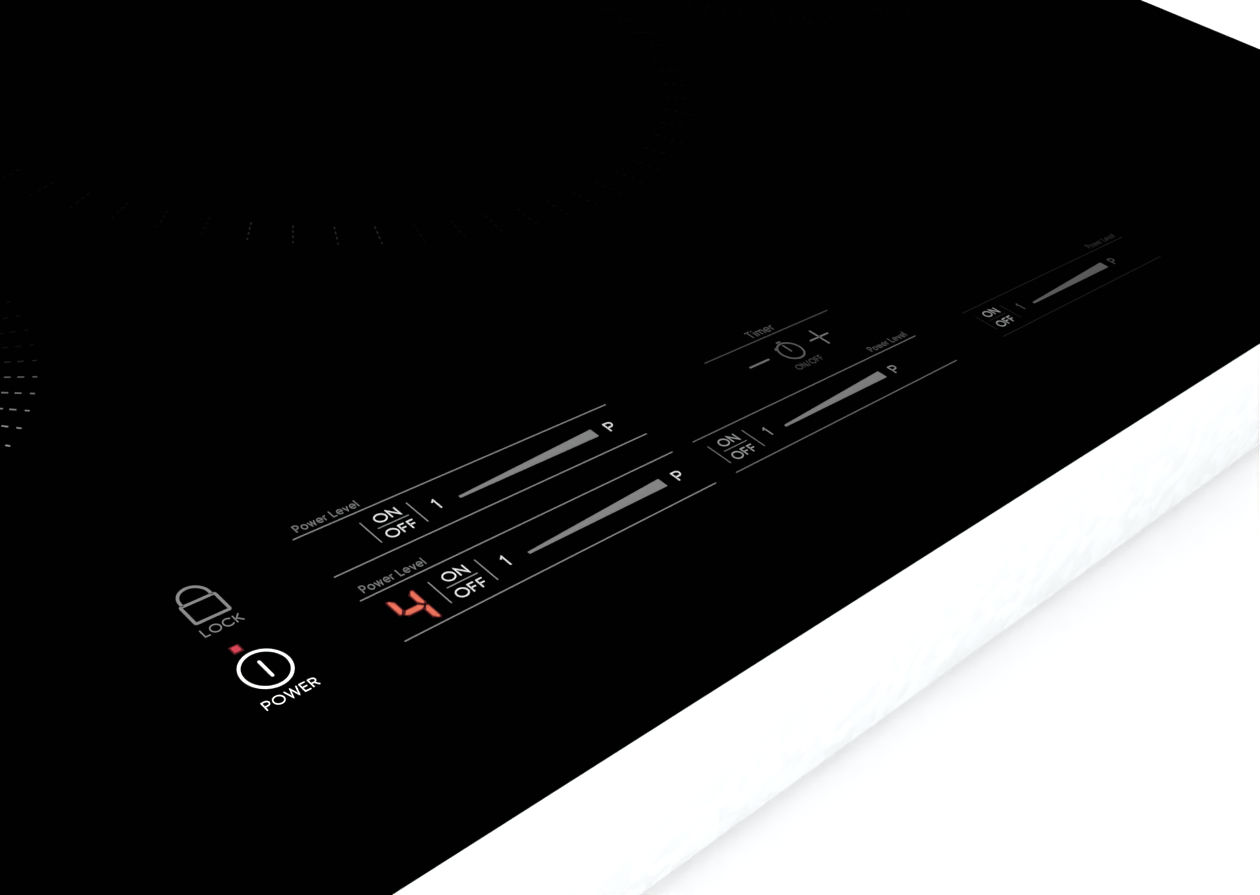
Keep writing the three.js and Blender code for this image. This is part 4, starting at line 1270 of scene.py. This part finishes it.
# Cans: x, y, radius and height.
INVERTER_CANS = ((16, 22, 9, 31), (16, 46, 9, 31), (39, 22, 6.5, 21), (39, 42, 6.5, 21), (38, 62, 5, 12),
                 (16, 66, 5, 12))
INVERTER_RESISTORS = tuple((x, y) for y in (132, 162) for x in range(10, 45, 7))
FILTER_PARTS = (
    ("film", 22, 122, 32, 14, 22), ("film", 90, 122, 28, 14, 22), ("film", 22, 100, 27, 11, 18),
    ("black_plastic", 92, 24, 19, 25, 17), ("black_plastic", 24, 52, 14, 10, 18),
    ("black_plastic", 92, 60, 16, 14, 12),
    ("white_plastic", 30, 140, 30, 9, 12), ("white_plastic", 84, 140, 26, 9, 12),
    ("white_plastic", 56, 8, 30, 8, 11),
    ("tin", 13, 20, 5, 7, 6), ("tin", 37, 20, 5, 7, 6),
)
FILTER_CANS = ((56, 30, 5, 10), (68, 30, 5, 10), (92, 84, 6.5, 16))
FILTER_RESISTORS = ((20, 36), (30, 36), (40, 36), (62, 120), (62, 128))
# The material of each kind of part that isn't named after its material.
PART_FINISHES = {
    "standoff": "white_plastic", "screw": "zinc_plated_steel", "pins": "tin", "sleeve": "sleeve_blue",
    "can": "aluminium", "resistor": "resistor_tan",
}
RESISTOR = ((0.5, -5.5), (0.35, -5.3), (0.35, -3.4), (1.2, -3.0), (1.4, -2.2), (1.1, -1.2), (1.1, 1.2),
            (1.4, 2.2), (1.2, 3.0), (0.35, 3.4), (0.35, 5.3), (0.5, 5.5))
POST = ((3.6, FLOOR_TOP), (3.6, FLOOR_TOP + 0.6), (3.0, FLOOR_TOP + 1.4))
PIN_ROOM = 5
PIN_PITCH = 4.2


def mould_part(groups, material, place, size):
    """A moulded part. Terminals get a screw on top and plugs get a row of pins."""
    top = place + Vector((0, 0, size[2]))
    brick(groups[material], (place + top) / 2, size, 0.6, 1.2, steps=4)
    if material == "tin":
        screw_head(groups[material], top, UP, 2.8, 1.8)
    if material == "white_plastic":
        pins = int(size[0] / PIN_ROOM)
        for pin in range(pins):
            shift = Vector(((pin - (pins - 1) / 2) * PIN_PITCH, 0, 0))
            brick(groups["pins"], top + shift, (1.2, 1.2, 3), 0.2, 0.2)


def electrolytic_can(groups, place, radius, height):
    """Can in a shrunk sleeve with a groove round its foot, with a bare top."""
    sleeve = [(radius - 0.8, 0), (radius, 0.6), (radius, 2.2), (radius - 0.35, 2.8), (radius, 3.4),
              (radius, height - 0.5), (radius - 0.6, height), (radius - 1.0, height - 0.1)]
    top = [(radius - 1.1, height - 1), (radius - 1.1, height + 0.1), (radius - 1.5, height + 0.25),
           (0.2, height + 0.15)]
    lathe(groups["sleeve"], place, UP, sleeve, 28)
    lathe(groups["can"], place, UP, top, 28)


def board_parts(board, parts, cans, resistors):
    """Components of a board on its upper face, and the standoffs and screws in its corners."""
    low, high = box(board)
    corner = Vector((low.x, low.y, high.z))
    groups = defaultdict(bmesh.new)
    for material, x, y, *size in parts:
        mould_part(groups, material, corner + Vector((x, y, 0)), size)
    for x, y, radius, height in cans:
        electrolytic_can(groups, corner + Vector((x, y, 0)), radius, height)
    for x, y in resistors:
        lathe(groups["resistor"], corner + Vector((x, y, 1.6)), (0, 1, 0), RESISTOR, 12)
    for x in (low.x + 6, high.x - 6):
        for y in (low.y + 5, high.y - 5):
            lathe(groups["standoff"], (x, y, 0), UP, (*POST, (3.0, low.z)), 20)
            screw_head(groups["screw"], (x, y, high.z), UP, 2.8, 1.6)
    name = board.replace("_board", "")
    for kind, solid in groups.items():
        add_piece(f"{name}_{kind}_parts", solid, PART_FINISHES.get(kind, kind), slot="circuit_board")
    refined(board, 0.15)


TERMINAL_WAYS = 5
POWER_TRANSISTORS = (-64, -40, -16, 8)


def transistors(side):
    """Power transistors screwed to the flank of a heatsink, with their legs in the board."""
    x = box("heatsink_" + side)[1].x + 2.6
    face = box("inverter_board_" + side)[1].z
    cases, legs, screws = new_solids(3)
    for y in POWER_TRANSISTORS:
        brick(cases, (x, y, face + 18), (5.0, 15.6, 20.6), 0.4, 0.5)
        for offset in (-5.4, 0.0, 5.4):
            brick(legs, (x, y + offset, face + 4), (0.7, 1.3, 8.4), 0.1, 0.15)
        screw_head(screws, (x + 2.5, y, face + 23.5), (1, 0, 0), 2.9, 2.0)
    add_piece("transistor_cases_" + side, cases, "black_plastic", slot="circuit_board")
    add_piece("transistor_legs_" + side, legs, "tin", slot="circuit_board")
    add_piece("transistor_screws_" + side, screws, "zinc_plated_steel", slot="circuit_board")


CHOKE_TURNS = 15
CHOKE_STEPS = 16
CHOKE_GAP = 0.35
CHOKE_MIDDLE = 17


def filter_choke():
    """Ring core on edge, wound with two windings of enamelled wire."""
    centre = node_box("filter_choke")[0]
    core, wire = new_solids(2)
    section = [(11.4, -5.0), (12.2, -5.6), (21.8, -5.6), (22.6, -5.0), (22.6, 5.0), (21.8, 5.6),
               (12.2, 5.6), (11.4, 5.0)]
    lathe(core, centre, (1, 0, 0), section, 64, closed=True)
    count = CHOKE_TURNS * CHOKE_STEPS
    for start in (CHOKE_GAP, CHOKE_GAP + math.pi):
        route = []
        for step in range(count + 1):
            around = start + step / count * (math.pi - 2 * CHOKE_GAP)
            roll = math.tau * step / CHOKE_STEPS
            bulge = (math.cos(roll) ** 4 + math.sin(roll) ** 4) ** -0.25
            out = Vector((0, math.cos(around), math.sin(around)))
            out *= CHOKE_MIDDLE + 6.25 * bulge * math.cos(roll)
            route.append(centre + out + Vector((6.3 * bulge * math.sin(roll), 0, 0)))
        tube(wire, route, 0.7, 7)
    add_piece("choke_core", core, "ferrite", slot="copper", replaces=["filter_choke"])
    add_piece("choke_wire", wire, "enamelled_wire", slot="copper")


def power_boards():
    for side in ("left", "right"):
        board_parts("inverter_board_" + side, INVERTER_PARTS, INVERTER_CANS, INVERTER_RESISTORS)
        refined("heatsink_" + side, 0.25)
        refined("filter_capacitor_" + side, 1.0, 3)
        transistors(side)
    board_parts("filter_board", FILTER_PARTS, FILTER_CANS, FILTER_RESISTORS)
    filter_choke()
    refined("terminal_block", 0.5)
    low, high = box("terminal_block")
    screws = bmesh.new()
    for index in range(TERMINAL_WAYS):
        x = low.x + (index + 0.5) * (high.x - low.x) / TERMINAL_WAYS
        for y in (low.y + 5, high.y - 5):
            screw_head(screws, (x, y, high.z - 0.3), UP, 2.8, 1.6)
    add_piece("terminal_screws", screws, "brass", slot="zinc_plated_steel")


# ------------------ blowers

BLADES = 32
BLADE_STEPS = 5


def blade_outline(turn, inner, outer, thickness):
    """Section of a forward-curved blade."""
    front, back = [], []
    for step in range(BLADE_STEPS + 1):
        share = step / BLADE_STEPS
        reach = inner + (outer - inner) * share
        angle = turn + 0.20 * share ** 2
        out, side = heading(angle), heading(angle + math.pi / 2)
        half = thickness / 2 * (0.6 + 0.8 * share * (1 - share))
        front.append(out * reach + side * half)
        back.append(out * reach - side * half)
    return [*back, *reversed(front)]


def impeller(side):
    """Fan wheel: hub and disc in one, blades under the disc, a ring round their feet and a steel axle."""
    node = "impeller_" + side
    centre, low, high = node_box(node)
    axis = (centre.x, centre.y, low.z)
    rim, axle_top = (high.x - low.x) / 2 - 0.05, high.z - low.z
    wheel, axle = new_solids(2)
    hub = [(14.2, 2.2), (15.2, 2.2), (15.9, 3.0), (16.0, 15.0), (17.2, 17.6), (rim - 0.6, 18.1),
           (rim, 18.5), (rim, 19.1), (rim - 0.5, 19.5), (9.0, 19.5), (8.4, 19.0), (3.4, 19.0),
           (3.4, 16.5), (13.4, 16.4), (14.2, 15.6)]
    lathe(wheel, axis, UP, hub, 72, closed=True)
    lathe(wheel, axis, UP, ring_profile(rim - 2.6, rim, 0, 1.6, 0.4), 72, closed=True)
    for blade in range(BLADES):
        outline = blade_outline(math.tau * blade / BLADES, 24.6, rim - 0.5, 1.3)
        corners = [(centre.x + p.x, centre.y + p.y) for p in outline]
        prism(wheel, corners, low.z + 0.5, low.z + 18.4)
    pin = [(2.1, axle_top - 10), (2.45, axle_top - 9.6), (2.45, axle_top - 0.4), (2.0, axle_top)]
    lathe(axle, axis, UP, pin, 24)
    node_piece(node, "bladed", wheel, "black_plastic", instead=True)
    node_piece(node, "axle", axle, "zinc_plated_steel")


def blowers():
    """The wheels, their housings and covers, with a ring label and screws on each cover."""
    for side in ("left", "right"):
        refined("blower_housing_" + side, 0.35)
        refined("blower_cover_" + side, 0.3)
        impeller(side)
        hub = node_box("impeller_" + side)[0]
        hub.z = box("blower_cover_" + side)[1].z
        screws, label = new_solids(2)
        for angle, reach in ((70, 33), (150, 38), (215, 41), (300, 45)):
            screw_head(screws, hub + heading(math.radians(angle)) * reach, UP, 2.6, 1.6)
        lathe(label, hub, UP, [(16, 0.0), (15.7, 0.25), (6, 0.25), (5.8, 0.0)], 48, closed=True)
        add_piece("blower_screws_" + side, screws, "zinc_plated_steel")
        add_piece("blower_label_" + side, label, "aluminium", slot="black_plastic")


# ------------------ touch controls

# Touch pads on the panel: single keys, then the start of each slider's row of pads.
TOUCH_KEYS = (POWER_KEY, (POWER_KEY.x, 78.5), (-TIMER_KEY_X, TIMER_KEY_Y), (TIMER_KEY_X, TIMER_KEY_Y),
              (0.0, 69.5), (-134.6, 54.8), (-134.6, 78.3), (-46.9, 54.8), (70.5, 54.8))
TOUCH_SLIDERS = ((-116.9, 54.8), (-116.9, 78.3), (-29.1, 54.8), (88.3, 54.8))
SLIDER_PADS = 5
PAD_PITCH = 10.6
# Chips: x and y on the panel, then width, depth and height.
CONTROL_CHIPS = ((-165, 66, 9, 9, 1.6), (-35, 92, 12, 12, 1.6), (45, 80, 6, 8, 1.8),
                 (100, 75, 6, 8, 1.8), (-90, 66.5, 6, 5, 1.6), (150, 80, 7, 5, 1.6))


def touch_controls():
    refined("control_carrier", 0.35)
    refined("control_board", 0.15)
    face = box("control_board")[1].z
    underside = box("zone_display_centre")[1].z
    springs, chips, plugs = new_solids(3)
    pads = list(TOUCH_KEYS)
    for x, y in TOUCH_SLIDERS:
        pads += [(x + index * PAD_PITCH, y) for index in range(SLIDER_PADS)]
    for x, y in pads:
        place = (*panel(x, y), face)
        helix(springs, place, radius=3.2, height=underside - face, turns=4, wire=0.28, taper=0.75, steps=12)
    for x, y, width, depth, height in CONTROL_CHIPS:
        brick(chips, (*panel(x, y), face + height / 2), (width, depth, height), 0.2, 0.3)
    for x, width in ((-100, 24), (110, 18)):
        brick(plugs, (*panel(x, 94), face + 2.5), (width, 6, 5), 0.4, 0.6)
    add_piece("touch_springs", springs, "spring_steel", slot="circuit_board")
    add_piece("control_chips", chips, "black_plastic", slot="circuit_board")
    add_piece("control_plugs", plugs, "white_plastic", slot="circuit_board")
    for zone in ZONES:
        node = "zone_display_" + zone
        refined(node, 0.3)
        centre = node_box(node)[0]
        bars = bmesh.new()
        for outline in digit_segments():
            corners = [(centre.x + x, centre.y + y) for x, y in outline]
            prism(bars, corners, underside - 0.05, underside + 0.04)
        add_piece("display_bars_" + zone, bars, "display_bar", slot="display_red", smooth=False)


# ------------------ studio

def make_floor():
    sheet = bmesh.new()
    bmesh.ops.create_grid(sheet, x_segments=2, y_segments=2, size=20.0)
    mesh = bpy.data.meshes.new("floor")
    sheet.to_mesh(mesh)
    sheet.free()
    made = Nodes("floor_paint", (0.90, 0.90, 0.90), 0.9, Specular_IOR_Level=0.0)
    made.tint(made.noise(0.8, 2.0), 0.01)
    mesh.materials.append(made.material)
    floor = bpy.data.objects.new("floor", mesh)
    bpy.context.scene.collection.objects.link(floor)


LIGHT_AIM = Vector((0.0, 0.0, 0.05))


def soft_light(name, place, size, power, mirrored=True):
    data = bpy.data.lights.new(name, "AREA")
    data.shape = "RECTANGLE"
    data.size, data.size_y = size
    data.energy = power
    lamp = bpy.data.objects.new(name, data)
    bpy.context.scene.collection.objects.link(lamp)
    lamp.location = place
    lamp.rotation_mode = "QUATERNION"
    lamp.rotation_quaternion = (Vector(place) - LIGHT_AIM).to_track_quat("Z", "Y")
    lamp.visible_camera = False
    lamp.visible_glossy = mirrored


ROOM_LIGHT = 1.12
ROOM_REFLECTION = 0.22
BRIGHT_SIDE = (-0.5, -0.866, 0.0)


def make_room():
    """White room. Gloss sees it dark ahead of the user and fading up to a soft grey behind the user."""
    world = bpy.data.worlds.new("studio")
    bpy.context.scene.world = world
    world.use_nodes = True
    tree = world.node_tree
    place = tree.nodes.new("ShaderNodeTexCoord")
    facing = tree.nodes.new("ShaderNodeVectorMath")
    facing.operation = "DOT_PRODUCT"
    facing.inputs[1].default_value = BRIGHT_SIDE
    fade = tree.nodes.new("ShaderNodeMapRange")
    fade.interpolation_type = "SMOOTHSTEP"
    fade.inputs["From Min"].default_value = -0.1
    fade.inputs["From Max"].default_value = 0.9
    fade.inputs["To Max"].default_value = ROOM_REFLECTION
    path = tree.nodes.new("ShaderNodeLightPath")
    choice = tree.nodes.new("ShaderNodeMix")
    choice.inputs["A"].default_value = ROOM_LIGHT
    background = tree.nodes["Background"]
    background.inputs["Color"].default_value = (0.95, 0.96, 0.97, 1.0)
    tree.links.new(place.outputs["Generated"], facing.inputs[0])
    tree.links.new(facing.outputs["Value"], fade.inputs["Value"])
    tree.links.new(path.outputs["Is Glossy Ray"], choice.inputs["Factor"])
    tree.links.new(fade.outputs["Result"], choice.inputs["B"])
    tree.links.new(choice.outputs["Result"], background.inputs["Strength"])


def make_studio():
    make_room()
    soft_light("overhead", (0.0, -0.1, 2.4), (1.5, 1.5), 6.0)
    soft_light("front_left", (-2.2, -2.3, 1.2), (1.8, 1.4), 38.0)
    soft_light("front_low", (-0.5, -2.5, 0.5), (2.6, 0.8), 38.0, mirrored=False)
    soft_light("right_low", (3.0, -0.9, 0.55), (3.0, 0.9), 10.0, mirrored=False)
    soft_light("left_low", (-3.0, 0.5, 0.5), (3.0, 0.9), 6.0, mirrored=False)
    soft_light("back_low", (0.0, 3.0, 0.5), (3.0, 0.9), 8.0, mirrored=False)
    settings = bpy.context.scene.view_settings
    settings.view_transform = "Standard"
    settings.look = "None"


# ------------------ build

make_camera()
paint_cad_nodes()
glass_plate()
foam_gasket()
glass_graphics()
box_shell()
louvres()
floor_ribs()
corner_laps()
box_screws()
clamp_screws()
conduit_fitting()
coil_units()
power_boards()
blowers()
touch_controls()
make_floor()
make_studio()
